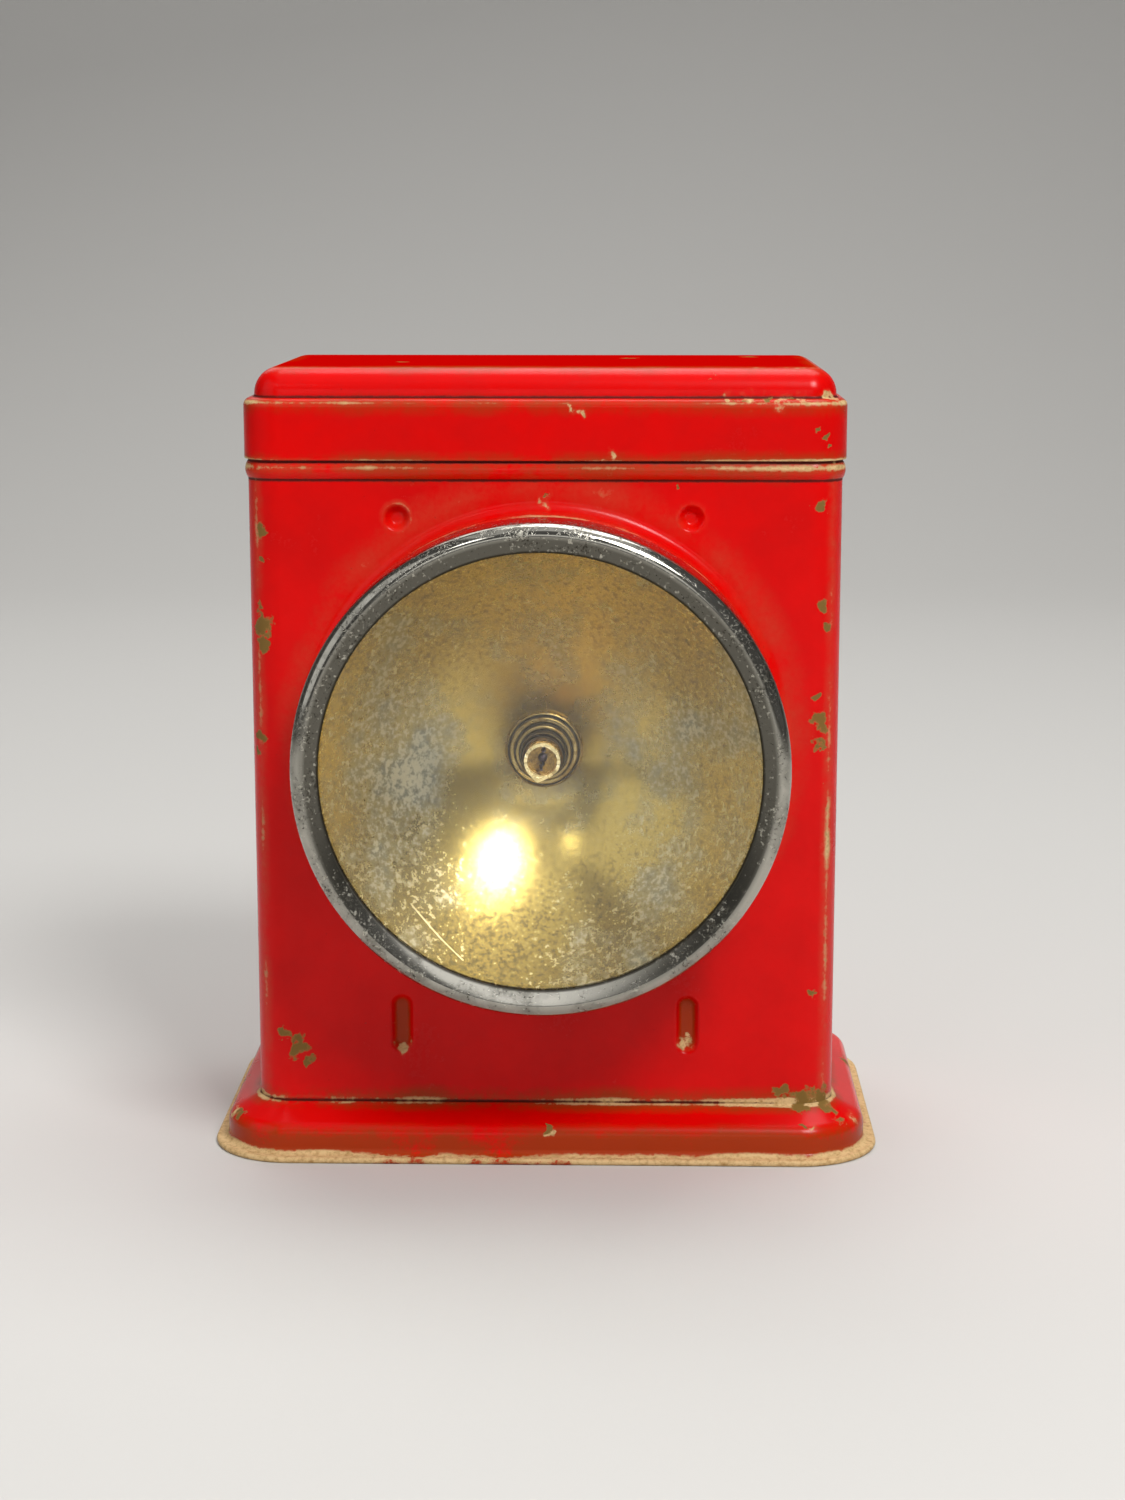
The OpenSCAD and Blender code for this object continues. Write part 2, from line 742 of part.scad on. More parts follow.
module socket_ring() {
    ring_s = dish_point(hole_r, reflector_t)[1] - fit_gap;
    color(plated)
        on_front(0, lamp_z)
            translate([0, 0, ring_s - socket_ring_t])
                tube(socket_ring_t, socket_ring_d / 2, hole_r);
}

module contact_insulator() {
    hole = contact_d / 2 + fit_gap;
    disc = bore_r - fit_gap;
    color(fibre)
        on_lamp_axis()
            polygon([
                [hole, tail_s], [boss_d / 2, tail_s], [boss_d / 2, shank_s],
                [disc, shank_s], [disc, insulator_s], [hole, insulator_s]
            ]);
}

// The rivet that takes the current to the bulb's tip, with a tail that holds the lamp's lead
module centre_contact()
    color(brassy)
        on_lamp_axis()
            polygon([
                [0, contact_s], [contact_head_d / 2, contact_s], [contact_head_d / 2, insulator_s],
                [contact_d / 2, insulator_s], [contact_d / 2, lead_s],
                [contact_head_d / 2, lead_s], [contact_head_d / 2, lead_s - contact_head_t],
                [0, lead_s - contact_head_t]
            ]);

// Line of the screw base's sheet, with the rolled thread as rings, moved in by t
function shell_line(t) =
    let (n = thread_turns * arc_steps)
        concat(
            [for (i = [0:n]) [
                bulb_r - t - thread_depth * (1 - cos(360 * i / arc_steps)) / 2,
                shell_s + thread_pitch * i / arc_steps
            ]],
            [[bulb_r - t, shell_end]]
        );

module bulb_shell()
    color(brassy)
        on_lamp_axis()
            polygon(concat(shell_line(0), reversed(shell_line(shell_t))));

module bulb_tip() {
    dome_r = (tip_d * tip_d / 4 + tip_h * tip_h) / (2 * tip_h);
    color(plated)
        on_lamp_axis()
            polygon(concat(
                [[0, bulb_button_s]],
                arc([0, tip_s + dome_r], dome_r, asin(tip_d / 2 / dome_r) - 90, -90)
            ));
}

module bulb_insulator()
    color("black")
        on_lamp_axis()
            polygon([
                [0, bulb_button_s], [tip_d / 2 + shell_t, bulb_button_s],
                [bulb_r - shell_t - fit_gap, shell_s], [0, shell_s]
            ]);

module bulb_cement() {
    fill_r = bulb_r - thread_depth - shell_t - fit_gap;
    color("wheat")
        difference() {
            on_lamp_axis()
                polygon([[0, shell_s], [fill_r, shell_s], [fill_r, cement_s], [0, cement_s]]);
            filament_posts(fit_gap);
        }
}

// The two support posts of the filament, made thicker by grow
module filament_posts(grow)
    for (s = [-1, 1])
        on_front(0, lamp_z + s * filament_post_gap / 2)
            translate([0, 0, cement_s - filament_post_l / 2])
                cylinder(filament_post_l, d = filament_post_d + 2 * grow);

module bulb_posts()
    color("dimgray") {
        filament_posts(0);
        on_front(0, lamp_z)
            translate([0, 0, shell_end + bridge_d / 2])
                rotate([90, 0, 0])
                    cylinder(filament_post_gap + bridge_d, d = bridge_d, center = true);
    }

// Height of the broken edge at the i-th of its corners, counted from the longest splinter
function broken_s(i) =
    let (k = i % break_count, spread = (1 + sin(k * k * splinter_angle)) / 2)
        shell_end + glass_neck_l * (1 - break_share * spread) + (k == 0 ? splinter_l : 0);

// Broken neck of the bulb's glass, whose edge runs in slanted cuts from corner to corner
module bulb_glass() {
    top = shell_end + glass_neck_l + splinter_l;
    turn = 360 / break_count;
    half = glass_neck_d / 2 * tan(turn / 2);
    color("lightcyan", 0.5)
        on_front(0, lamp_z)
            difference() {
                translate([0, 0, cement_s])
                    tube(top - cement_s, glass_neck_d / 2, glass_neck_d / 2 - glass_neck_t);
                for (i = [0:break_count - 1])
                    rotate([0, 0, splinter_angle + turn * i + turn / 2])
                        rotate([90, 0, 90])
                            linear_extrude(glass_neck_d)
                                polygon([
                                    [-half, broken_s(i)], [half, broken_s(i + 1)],
                                    [half, top + cut], [-half, top + cut]
                                ]);
            }
}

module cell_jacket(s)
    color("steelblue")
        translate([s * cell_x, cell_y, floor_z])
            tube(cell_h, cell_r, cell_r - jacket_t);

module cell_core(s)
    color("dimgray")
        translate([s * cell_x, cell_y, floor_z])
            difference() {
                cylinder(core_top - floor_z, r = core_r);
                translate([0, 0, seal_bottom - floor_z])
                    cylinder(cell_h, r = well_r);
            }

module cell_seal(s, edge)
    color("black")
        difference() {
            translate([s * cell_x, cell_y, seal_bottom])
                tube(seal_t, well_r - fit_gap, rod_d / 2 + fit_gap);
            translate([edge[0], edge[1], seal_bottom - cut])
                cylinder(seal_t + 2 * cut, d = edge_foot_d + 2 * fit_gap);
        }

module left_cell_jacket() cell_jacket(-1);
module left_cell_core() cell_core(-1);
module left_cell_seal() cell_seal(-1, left_edge);
module right_cell_jacket() cell_jacket(1);
module right_cell_core() cell_core(1);
module right_cell_seal() cell_seal(1, right_edge);

module carbon_rods()
    color("dimgray")
        for_cells()
            translate([0, 0, seal_bottom])
                cylinder(rod_top - seal_bottom, d = rod_d);

// A post of diameter post_d on a foot that reaches from z to the terminals' seat
module post(z, foot_d) {
    translate([0, 0, z])
        cylinder(terminal_z - z, d = foot_d);
    translate([0, 0, terminal_z])
        cylinder(post_rise, d = post_d);
}

module centre_posts()
    color(brassy)
        for_cells()
            post(rod_top, cap_d);

module edge_posts()
    color(brassy)
        for (p = [left_edge, right_edge])
            translate([p[0], p[1], 0])
                post(seal_bottom, edge_foot_d);

module knurled_nut()
    linear_extrude(nut_h)
        difference() {
            polygon([
                for (i = [0:2 * knurl_count - 1])
                    let (r = nut_d / 2 - (i % 2) * knurl_depth)
                        r * [cos(180 * i / knurl_count), sin(180 * i / knurl_count)]
            ]);
            circle(d = post_d + 2 * fit_gap);
        }

module terminal_nuts()
    color(brassy) {
        for_cells()
            translate([0, 0, nut_z])
                knurled_nut();
        for (p = [left_edge, right_edge])
            translate([p[0], p[1], nut_z])
                knurled_nut();
    }

// Strap from the left cell's centre post to the right cell's edge post
module series_link() {
    from = [-cell_x, cell_y];
    color(brassy)
        translate([0, 0, terminal_z])
            linear_extrude(strap_t)
                difference() {
                    union() {
                        for (p = [from, right_edge])
                            translate(p)
                                circle(d = strap_w);
                        translate([from[0], from[1] - strap_w / 2])
                            square([right_edge[0] - from[0], strap_w]);
                    }
                    for (p = [from, right_edge])
                        translate(p)
                            circle(d = post_d + 2 * fit_gap);
                }
}

// Ring terminal in the plane z = 0 with its tongue along +X
module ring_terminal(hole_d, reach)
    linear_extrude(strap_t)
        difference() {
            union() {
                circle(d = ring_d);
                translate([0, -tongue_w / 2])
                    square([reach, tongue_w]);
            }
            circle(d = hole_d);
        }

// Covered wire that rises from the point foot, bends over and runs level to the post at p
module lead(foot, p) {
    level = terminal_z + strap_t / 2;
    flat = [p[0] - foot[0], p[1] - foot[1]];
    run = norm(flat);
    reach = nut_d / 2 + wire_d;
    translate([foot[0], foot[1], 0])
        rotate([0, 0, atan2(flat[1], flat[0])]) {
            translate([0, 0, foot[2]])
                cylinder(level - wire_bend_r - foot[2], d = wire_d);
            translate([wire_bend_r, 0, level - wire_bend_r])
                rotate([90, 0, 0])
                    rotate([0, 0, 90])
                        rotate_extrude(angle = 90)
                            translate([wire_bend_r, 0])
                                circle(d = wire_d);
            translate([wire_bend_r, 0, level])
                rotate([0, 90, 0])
                    cylinder(run - wire_bend_r - reach, d = wire_d);
            translate([run, 0, terminal_z])
                rotate([0, 0, 180])
                    ring_terminal(post_d + 2 * fit_gap, reach + wire_d);
        }
}

// Lead from the contact behind the socket to the right cell's centre post
module lamp_lead() {
    y = front_y - lead_s - strap_t / 2;
    rise = ring_d / 2 + wire_d / 2;
    color("olivedrab") {
        lead([0, y, lamp_z + rise], [cell_x, cell_y]);
        on_front(0, lamp_z)
            translate([0, 0, lead_s])
                rotate([0, 0, 90])
                    ring_terminal(contact_d + 2 * fit_gap, rise + wire_d);
    }
}

// Lead from the switch's terminal screw to the left cell's edge post
module switch_lead() {
    rise = ring_d / 2 + wire_d / 2;
    color("olivedrab") {
        lead([0, screw_ring_y + strap_t / 2, screw_z + rise], left_edge);
        translate([0, screw_ring_y + strap_t, screw_z])
            rotate([90, 0, 0])
                rotate([0, 0, 90])
                    ring_terminal(screw_d + 2 * fit_gap, rise + wire_d);
    }
}

module switch_button() {
    groove_pitch = thumb_h / (groove_count + 1);
    color(plated)
        difference() {
            union() {
                translate([0, back_y + thumb_gap, thumb_z])
                    rotate([-90, 0, 0])
                        linear_extrude(thumb_out - thumb_gap)
                            stadium(thumb_h, thumb_w);
                translate([-switch_neck_w / 2, peen_y, thumb_z - switch_neck_h / 2])
                    cube([switch_neck_w, back_y + thumb_gap - peen_y + cut, switch_neck_h]);
            }
            for (i = [1:groove_count])
                translate([0, back_y + thumb_out, thumb_z - thumb_h / 2 + i * groove_pitch])
                    rotate([0, 90, 0])
                        cylinder(thumb_w + cut, d = groove_w, center = true);
        }
}

module switch_blade()
    color(brassy)
        difference() {
            translate([-strip_w / 2, blade_y, thumb_z - blade_l / 2])
                cube([strip_w, strip_t, blade_l]);
            translate([-switch_neck_w / 2 - fit_gap, blade_y - cut, thumb_z - switch_neck_h / 2 - fit_gap])
                cube([switch_neck_w + 2 * fit_gap, strip_t + 2 * cut, switch_neck_h + 2 * fit_gap]);
        }

module switch_plate()
    color(fibre)
        difference() {
            translate([-plate_w / 2, plate_y, switch_z - plate_below])
                cube([plate_w, plate_t, plate_below + plate_above]);
            translate([-switch_neck_w / 2 - switch_neck_room, plate_y - cut, switch_z - slot_h / 2])
                cube([switch_neck_w + 2 * switch_neck_room, plate_t + 2 * cut, slot_h]);
            rivet_holes(sheet + plate_t);
            facing_back(0, plate_y - cut, screw_z)
                cylinder(plate_t + 2 * cut, d = screw_d);
        }

module switch_contact()
    color(brassy)
        difference() {
            translate([-strip_w / 2, strip_y, switch_z + strip_start])
                cube([strip_w, strip_t, screw_z + strip_w / 2 - switch_z - strip_start]);
            facing_back(0, strip_y - cut, screw_z)
                cylinder(strip_t + 2 * cut, d = screw_d + fit_gap);
        }

module switch_screw()
    color(brassy)
        facing_back(0, screw_ring_y - screw_head_h, screw_z) {
            cylinder(screw_head_h, d = screw_head_d);
            cylinder(screw_head_h + strap_t + strip_t + plate_t / 2, d = screw_d - fit_gap);
        }

module switch_rivets()
    color(plated)
        for (s = [-1, 1])
            facing_back(s * switch_rivet_x, back_y, switch_z)
                rivet(sheet + plate_t);

// Half of the bail, hanging from its pivot on the +X side
module half_bail() {
    pin_l = bail_w / 2 - pin_bend_r - pin_end_x;
    leg_top = bail_z - pin_bend_r;
    leg_bottom = bail_z - bail_l + bail_bend_r;
    translate([pin_end_x, pivot_y, bail_z])
        rotate([0, 90, 0])
            cylinder(pin_l, d = bail_d);
    translate([bail_w / 2 - pin_bend_r, pivot_y, leg_top])
        rotate([90, 0, 0])
            rotate_extrude(angle = 90)
                translate([pin_bend_r, 0])
                    circle(d = bail_d);
    translate([bail_w / 2, pivot_y, leg_bottom])
        cylinder(leg_top - leg_bottom, d = bail_d);
    translate([bail_w / 2 - bail_bend_r, pivot_y, leg_bottom])
        rotate([90, 90, 0])
            rotate_extrude(angle = 90)
                translate([bail_bend_r, 0])
                    circle(d = bail_d);
    translate([0, pivot_y, bail_z - bail_l])
        rotate([0, 90, 0])
            cylinder(bail_w / 2 - bail_bend_r, d = bail_d);
}

module bail()
    color("dimgray")
        for (s = [0, 1])
            mirror([s, 0, 0])
                half_bail();

module bail_ears()
    color(paint)
        for (s = [-1, 1])
            translate([s * ear_x, 0, 0])
                difference() {
                    union() {
                        translate([-ear_w / 2, back_y, bail_z - ear_h / 2])
                            cube([ear_w, ear_t, ear_h]);
                        translate([-ear_w / 2, pivot_y, bail_z])
                            rotate([0, 90, 0])
                                cylinder(ear_w, r = knuckle_r);
                    }
                    translate([-ear_w / 2 - cut, pivot_y, bail_z])
                        rotate([0, 90, 0])
                            cylinder(ear_w + 2 * cut, d = bail_d + 2 * bail_gap);
                    for (k = [-1, 1])
                        facing_back(0, back_y - cut, bail_z + k * ear_rivet_off)
                            cylinder(ear_t + 2 * cut, d = rivet_d + fit_gap);
                }

module ear_rivets()
    color(paint)
        for (s = [-1, 1], k = [-1, 1])
            facing_back(s * ear_x, back_y + ear_t, bail_z + k * ear_rivet_off)
                rivet(sheet + ear_t);

case();
plinth();
floor_pan();
lid();
lid_liner();
bezel();
glass_lens();
reflector();
lamp_socket();
socket_ring();
contact_insulator();
centre_contact();
bulb_shell();
bulb_tip();
bulb_insulator();
bulb_cement();
bulb_glass();
bulb_posts();
left_cell_jacket();
left_cell_core();
left_cell_seal();
right_cell_jacket();
right_cell_core();
right_cell_seal();
carbon_rods();
centre_posts();
edge_posts();
terminal_nuts();
series_link();
lamp_lead();
switch_lead();
switch_button();
switch_blade();
switch_plate();
switch_contact();
switch_screw();
switch_rivets();
bail();
bail_ears();
ear_rivets();
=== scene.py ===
"""Looks of a red enamelled box lantern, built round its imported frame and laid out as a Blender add-on."""

import json
import math
import random
from collections import Counter
from types import SimpleNamespace

import bpy
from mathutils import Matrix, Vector

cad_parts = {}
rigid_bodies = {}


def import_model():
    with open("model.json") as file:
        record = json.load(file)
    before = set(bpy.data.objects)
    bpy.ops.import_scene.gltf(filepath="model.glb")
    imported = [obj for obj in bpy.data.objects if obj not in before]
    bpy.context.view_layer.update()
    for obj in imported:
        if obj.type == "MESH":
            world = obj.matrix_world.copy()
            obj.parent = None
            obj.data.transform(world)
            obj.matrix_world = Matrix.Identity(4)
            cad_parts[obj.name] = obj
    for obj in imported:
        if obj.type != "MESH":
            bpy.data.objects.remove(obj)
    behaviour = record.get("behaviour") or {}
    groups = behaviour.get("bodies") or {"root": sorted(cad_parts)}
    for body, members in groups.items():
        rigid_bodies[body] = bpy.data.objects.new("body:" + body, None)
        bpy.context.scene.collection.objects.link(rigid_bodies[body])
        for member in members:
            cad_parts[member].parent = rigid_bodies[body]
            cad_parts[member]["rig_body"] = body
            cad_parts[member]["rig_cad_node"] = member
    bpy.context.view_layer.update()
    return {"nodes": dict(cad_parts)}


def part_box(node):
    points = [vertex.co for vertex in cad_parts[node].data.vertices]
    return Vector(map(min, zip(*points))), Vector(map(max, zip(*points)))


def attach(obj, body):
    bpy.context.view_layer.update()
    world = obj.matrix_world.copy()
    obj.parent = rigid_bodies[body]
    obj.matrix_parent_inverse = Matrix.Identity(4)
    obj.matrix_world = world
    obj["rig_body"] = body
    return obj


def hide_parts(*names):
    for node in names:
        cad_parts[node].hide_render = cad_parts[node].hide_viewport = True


bl_info = {
    "name": "Box lantern",
    "version": (1, 0, 0),
    "blender": (4, 5, 0),
    "location": "View3D > Sidebar > Lantern",
    "description": "Builds the visible pieces of a red enamelled box lantern with a reflector lamp",
    "category": "Add Mesh",
}

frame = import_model()

MM = 0.001
# Corners nearer than MERGE are welded, and a corner within CLOSE of a level lies on it
MERGE = 0.001 * MM
CLOSE = 0.01 * MM
LATHE_STEPS = 128
SMALL_LATHE_STEPS = 24
ROUND_END_STEPS = 16
CORNER_STEPS = 14
ARC_STEPS = 10
SMALL_ARC_STEPS = 4
SIDES = (-1, 1)


def linear(code):
    """Turns an sRGB hex colour to linear red, green, blue and full alpha."""
    parts = [int(code[i:i + 2], 16) / 255 for i in (0, 2, 4)]
    light = [p / 12.92 if p <= 0.04045 else ((p + 0.055) / 1.055) ** 2.4 for p in parts]
    return (*light, 1)


def length(name, description, millimetres):
    """A size that a user may change, written in millimetres and kept in metres."""
    return bpy.props.FloatProperty(
        name=name, description=description, default=millimetres * MM, min=0, precision=5, unit="LENGTH"
    )


def tint(name, description, code):
    """A colour that a user may change, written as sRGB hex."""
    return bpy.props.FloatVectorProperty(
        name=name, description=description, default=linear(code), size=4, min=0, max=1, subtype="COLOR"
    )


class LanternSizes(bpy.types.PropertyGroup):
    """Sizes of the pieces, where the frame's boxes don't already give them"""

    sheet: length("Sheet", "Thickness of the enamelled steel", 0.6)
    corner_r: length("Corner radius", "Radius of the case's upright corners", 8.5)
    bead_h: length("Bead height", "Height of the rolled bead under the lid", 4.2)
    bead_out: length("Bead stand-out", "How far the bead stands out of the case", 0.7)
    bead_drop: length("Bead drop", "Middle of the bead below the case's rim", 14.8)
    hem_h: length("Hem height", "Height of the hem folded into the case's rim", 4)
    fillet_r: length("Collar fillet", "Radius where the collar is drawn out of the front", 2.9)
    collar_lip: length("Collar lip", "Width of the collar's edge that is turned in", 3)
    collar_edge_r: length("Collar edge", "Radius of the collar's front edge", 0.5)
    press_depth: length("Stop depth", "Depth of the stops pressed into the front", 1.8)
    dimple_d: length("Round stop", "Diameter of a round stop at the face", 6.8)
    dimple_flat: length("Round stop flat", "Diameter of the flat of a round stop", 2.2)
    stop_drop: length("Round stop drop", "Middle of the round stops below the cells' tops", 10.1)
    slot_l: length("Slot stop length", "Length of a slot stop at the face", 15)
    slot_w: length("Slot stop width", "Width of a slot stop at the face", 6.3)
    slot_flat: length("Slot stop flat", "Width of the flat of a slot stop", 2)
    slot_z: length("Slot stop height", "Height of the middle of the slot stops", 31.9)
    fit_gap: length("Press fit", "Gap between pressed pieces", 0.1)
    slide_gap: length("Slide gap", "Gap round a piece that slides", 0.3)
    shoulder_out: length("Shoulder stand-out", "How far the plinth's upright face stands out", 8)
    shoulder_r: length("Shoulder radius", "Radius of the plinth's shoulder", 4)
    shoulder_z: length("Shoulder height", "Height at which the plinth's shoulder starts", 5.5)
    cove_r: length("Plinth cove", "Radius of the cove above the plinth's lip", 1.6)
    lip_t: length("Lip thickness", "Thickness of the plinth's hemmed lip", 1.5)
    lid_sheet: length("Lid sheet", "Thickness of the lid's sheet", 0.5)
    ledge_drop: length("Ledge drop", "Height of the lid's crown above its ledge", 7.1)
    ledge_r: length("Ledge edge", "Radius of the ledge's outer edge", 2)
    ledge_cove_r: length("Ledge cove", "Radius between the ledge and the crown", 0.6)
    crown_r: length("Crown radius", "Radius of the crown's edge", 6.3)
    bezel_sheet: length("Bezel sheet", "Thickness of the chromed bezel", 0.5)
    bezel_gap: length("Bezel gap", "Gap between the collar and the bezel", 0.3)
    bezel_r: length("Bezel shoulder", "Radius of the bezel's front shoulder", 3.1)
    bezel_dish: length("Bezel dish", "How far the shoulder stands in front of the inner edge", 0.9)
    view_r: length("Window radius", "Radius that shows inside the bezel", 50.2)
    focus: length("Focus", "Focal length of the reflector", 20.9)
    reflector_sheet: length("Reflector sheet", "Thickness of the silvered sheet", 0.5)
    hole_r: length("Reflector hole", "Radius of the reflector's hole for the socket", 7.1)
    rim_cover: length("Rim cover", "How far the bezel's edge covers the reflector's mouth", 0.2)
    bore_r: length("Socket bore", "Radius of the bore that takes the bulb", 5.05)
    shank_r: length("Socket shank", "Radius of the socket inside the reflector's hole", 7)
    mouth_r: length("Socket mouth", "Radius of the tube at the socket's front", 5.4)
    mouth_l: length("Socket mouth length", "Length of the tube at the socket's front", 3)
    socket_edge_r: length("Socket edge", "Radius of the edges of the socket's steps", 0.45)
    socket_groove: length("Socket groove", "Width of the grooves between the socket's steps", 0.3)
    base_sheet: length("Bulb sheet", "Thickness of the bulb's screw base", 0.4)
    thread_depth: length("Thread depth", "Depth of the bulb's rolled thread", 0.5)
    thread_pitch: length("Thread pitch", "Pitch of the bulb's rolled thread", 1.8)
    bulb_glass_t: length("Bulb glass", "Thickness of the bulb's glass", 0.7)
    stub_r: length("Filament stub", "Radius of the wires that held the filament", 0.4)
    glass_bead_r: length("Filament bead", "Radius of the glass bead between the wires", 1.1)
    bail_r: length("Bail corner", "Radius of the bail's corners", 14)
    pin_out: length("Bail end", "How far the bail's ends stand out of the ears", 1)
    ear_w: length("Ear width", "Width of an ear's strap", 12)
    ear_t: length("Ear thickness", "Thickness of an ear's strap", 1)
    rivet_r: length("Rivet shank", "Radius of a rivet's shank", 1.5)
    rivet_head_r: length("Rivet head", "Radius of a rivet's head", 2.8)
    rivet_head_h: length("Rivet head height", "Height of a rivet's head", 1.4)
    switch_neck_w: length("Switch neck width", "Width of the button's neck in its slot", 4.4)
    switch_neck_h: length("Switch neck height", "Height of the button's neck in its slot", 6)
    switch_travel: length("Switch travel", "How far the button slides", 8)
    thumb_r: length("Button edge", "Rounding of the thumb button's edge", 0.8)
    edge: length("Eased edge", "Rounding of edges that are sharp in the frame", 0.2)


class LanternColours(bpy.types.PropertyGroup):
    """Colours of the finishes"""

    enamel: tint("Enamel", "Red of the enamel", "D80201")
    # Deep enamel also gives the lid's top its painted shade
    enamel_deep: tint("Deep enamel", "Red where the enamel lies thick", "AE0201")
    primer: tint("Primer", "Tan undercoat along worn edges", "D2B280")
    primer_dark: tint("Dark primer", "Undercoat that has browned", "9C7640")
    bare: tint("Bare steel", "Olive brown of oxidised steel in a chip", "7A5E2C")
    film: tint("Brown film", "Old varnish and rust next to worn edges", "8E3A0E")
    # Faded enamel also gives the collar's painted sheen
    faded_and_sheen: tint("Faded enamel", "Chalky red round the rubbed places", "C4492F")
    # Grime colours fine specks of dirt and the painted shade in the creases
    grime_and_shade: tint("Grime", "Dirt in the creases", "1E0B07")
    chrome: tint("Chrome", "Bright chrome", "B2AFA5")
    # Hazy chrome is random tarnish and also the painted dark reflection on the bezel's face
    chrome_haze_and_dark_reflection: tint("Hazy chrome", "Chrome gone smoky", "514E46")
    # Chrome pit is also the painted shade at the bezel's inner edge
    chrome_pit_and_shade: tint("Chrome pit", "Rust in the chrome's pits", "2C271E")
    chrome_fleck: tint("Chrome fleck", "Plate roughened to a pale grey", "C4C0B2")
    silver: tint("Silver", "Silvering that is still bright", "E6DEC2")
    gilt: tint("Gilt", "Thin silvering that lets the brass through", "CFB566")
    tarnish: tint("Tarnish", "Cloudy silvering", "969486")
    scratch: tint("Scratch", "Fresh metal in the scratches of the bowl", "FFF8E0")
    stain: tint("Stain", "Brown stain in the silvering", "6E5326")
    socket: tint("Socket", "Worn nickel on the socket", "CDB478")
    socket_worn: tint("Worn socket", "Brass where the nickel is gone", "7A5C28")
    nickel: tint("Nickel", "Dull nickel", "B9B3A2")
    brass: tint("Brass", "Aged brass", "AE9254")
    paper: tint("Paper", "Jacket paper of the cells", "2A3A5C")
    floor: tint("Floor", "Pale floor and backdrop", "C8C6C2")


def arc(x, y, radius, start, end, steps=ARC_STEPS):
    """Points of an arc about (x, y) from one angle to another, in degrees."""
    turns = [math.radians(start + (end - start) * i / steps) for i in range(steps + 1)]
    return [(x + radius * math.cos(a), y + radius * math.sin(a)) for a in turns]


def circle(radius, sides):
    """Points of a full circle about the middle."""
    turns = [math.tau * i / sides for i in range(sides)]
    return [(radius * math.cos(a), radius * math.sin(a)) for a in turns]


def places(sizes):
    """Where the pieces meet, worked out from the frame's boxes and the sizes."""
    case_low, case_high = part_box("case")
    bezel_low, bezel_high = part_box("bezel")
    glass_low, glass_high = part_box("glass_lens")
    lid_low, lid_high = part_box("lid")
    cell_low, cell_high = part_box("right_cell_jacket")
    bail_low, bail_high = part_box("bail")
    button_low, button_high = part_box("switch_button")
    at = SimpleNamespace()
    at.half_w = case_high.x - sizes.bead_out
    at.half_d = case_high.y - sizes.bead_out
    at.wall = (at.half_w, at.half_d, sizes.corner_r)
    at.front = -at.half_d
    at.flange_z = case_low.z
    at.rim_z = case_high.z
    at.bead_z = at.rim_z - sizes.bead_drop
    at.bead_r = (sizes.bead_h ** 2 / 4 + sizes.bead_out ** 2) / (2 * sizes.bead_out)
    at.plinth_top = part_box("plinth")[1].z
    at.lid_wall = (lid_high.x, lid_high.y, sizes.corner_r + lid_high.x - at.half_w)
    at.skirt_z = lid_low.z
    at.lid_top = lid_high.z
    at.ledge_z = at.lid_top - sizes.ledge_drop
    at.lamp_z = (glass_low.z + glass_high.z) / 2
    at.collar_s = at.front - case_low.y
    at.bezel_out = bezel_high.x
    at.bezel_rear = at.front - bezel_high.y
    at.bezel_front = at.front - bezel_low.y
    at.collar_r = at.bezel_out - sizes.bezel_sheet - sizes.bezel_gap
    at.collar_in = at.collar_r - sizes.sheet
    at.fillet_end = at.collar_r + sizes.fillet_r
    at.glass_r = glass_high.x
    at.glass_rear = at.front - glass_high.y
    at.glass_front = at.front - glass_low.y
    at.stop_x = (cell_low.x + cell_high.x) / 2
    at.dimple_z = cell_high.z - sizes.stop_drop
    at.slot_run = sizes.slot_l - sizes.slot_w
    at.wire_r = (bail_high.y - bail_low.y) / 2
    at.pivot_y = (bail_high.y + bail_low.y) / 2
    at.pivot_z = bail_high.z - at.wire_r
    at.switch_z = (button_low.z + button_high.z) / 2
    return at


def select_only(piece):
    """Makes a piece the only one selected, and the active one."""
    bpy.ops.object.select_all(action="DESELECT")
    piece.select_set(True)
    bpy.context.view_layer.objects.active = piece


def pick(piece, kind, test):
    """Selects the edges or polygons of a piece that pass a test, and nothing else, in edit mode."""
    bpy.ops.object.mode_set(mode="EDIT")
    bpy.ops.mesh.select_mode(type="FACE" if kind == "polygons" else "EDGE")
    bpy.ops.mesh.select_all(action="DESELECT")
    bpy.ops.object.mode_set(mode="OBJECT")
    for item in getattr(piece.data, kind):
        item.select = test(item)
    bpy.ops.object.mode_set(mode="EDIT")


def trace(name, points, closed=True):
    """Starts a piece as a vertex circle with its corners moved onto an outline, selected in edit mode."""
    bpy.ops.object.select_all(action="DESELECT")
    bpy.ops.mesh.primitive_circle_add(vertices=len(points), location=(0, 0, 0))
    piece = bpy.context.object
    piece.name = name
    piece.data.name = name
    for vertex, point in zip(piece.data.vertices, points):
        vertex.co = point
    if not closed:
        ends = {0, len(points) - 1}
        pick(piece, "edges", lambda edge: set(edge.vertices) == ends)
        bpy.ops.mesh.delete(type="EDGE")
    bpy.ops.object.mode_set(mode="EDIT")
    bpy.ops.mesh.select_mode(type="EDGE")
    bpy.ops.mesh.select_all(action="SELECT")
    return piece


def push(offset):
    """Extrudes what is selected along an offset."""
    bpy.ops.mesh.extrude_region_move(TRANSFORM_OT_translate={"value": offset})


def merge():
    """Welds the corners that lie on each other, turns the faces outward and leaves edit mode."""
    bpy.ops.mesh.select_all(action="SELECT")
    bpy.ops.mesh.remove_doubles(threshold=MERGE)
    bpy.ops.mesh.normals_make_consistent(inside=False)
    bpy.ops.object.mode_set(mode="OBJECT")


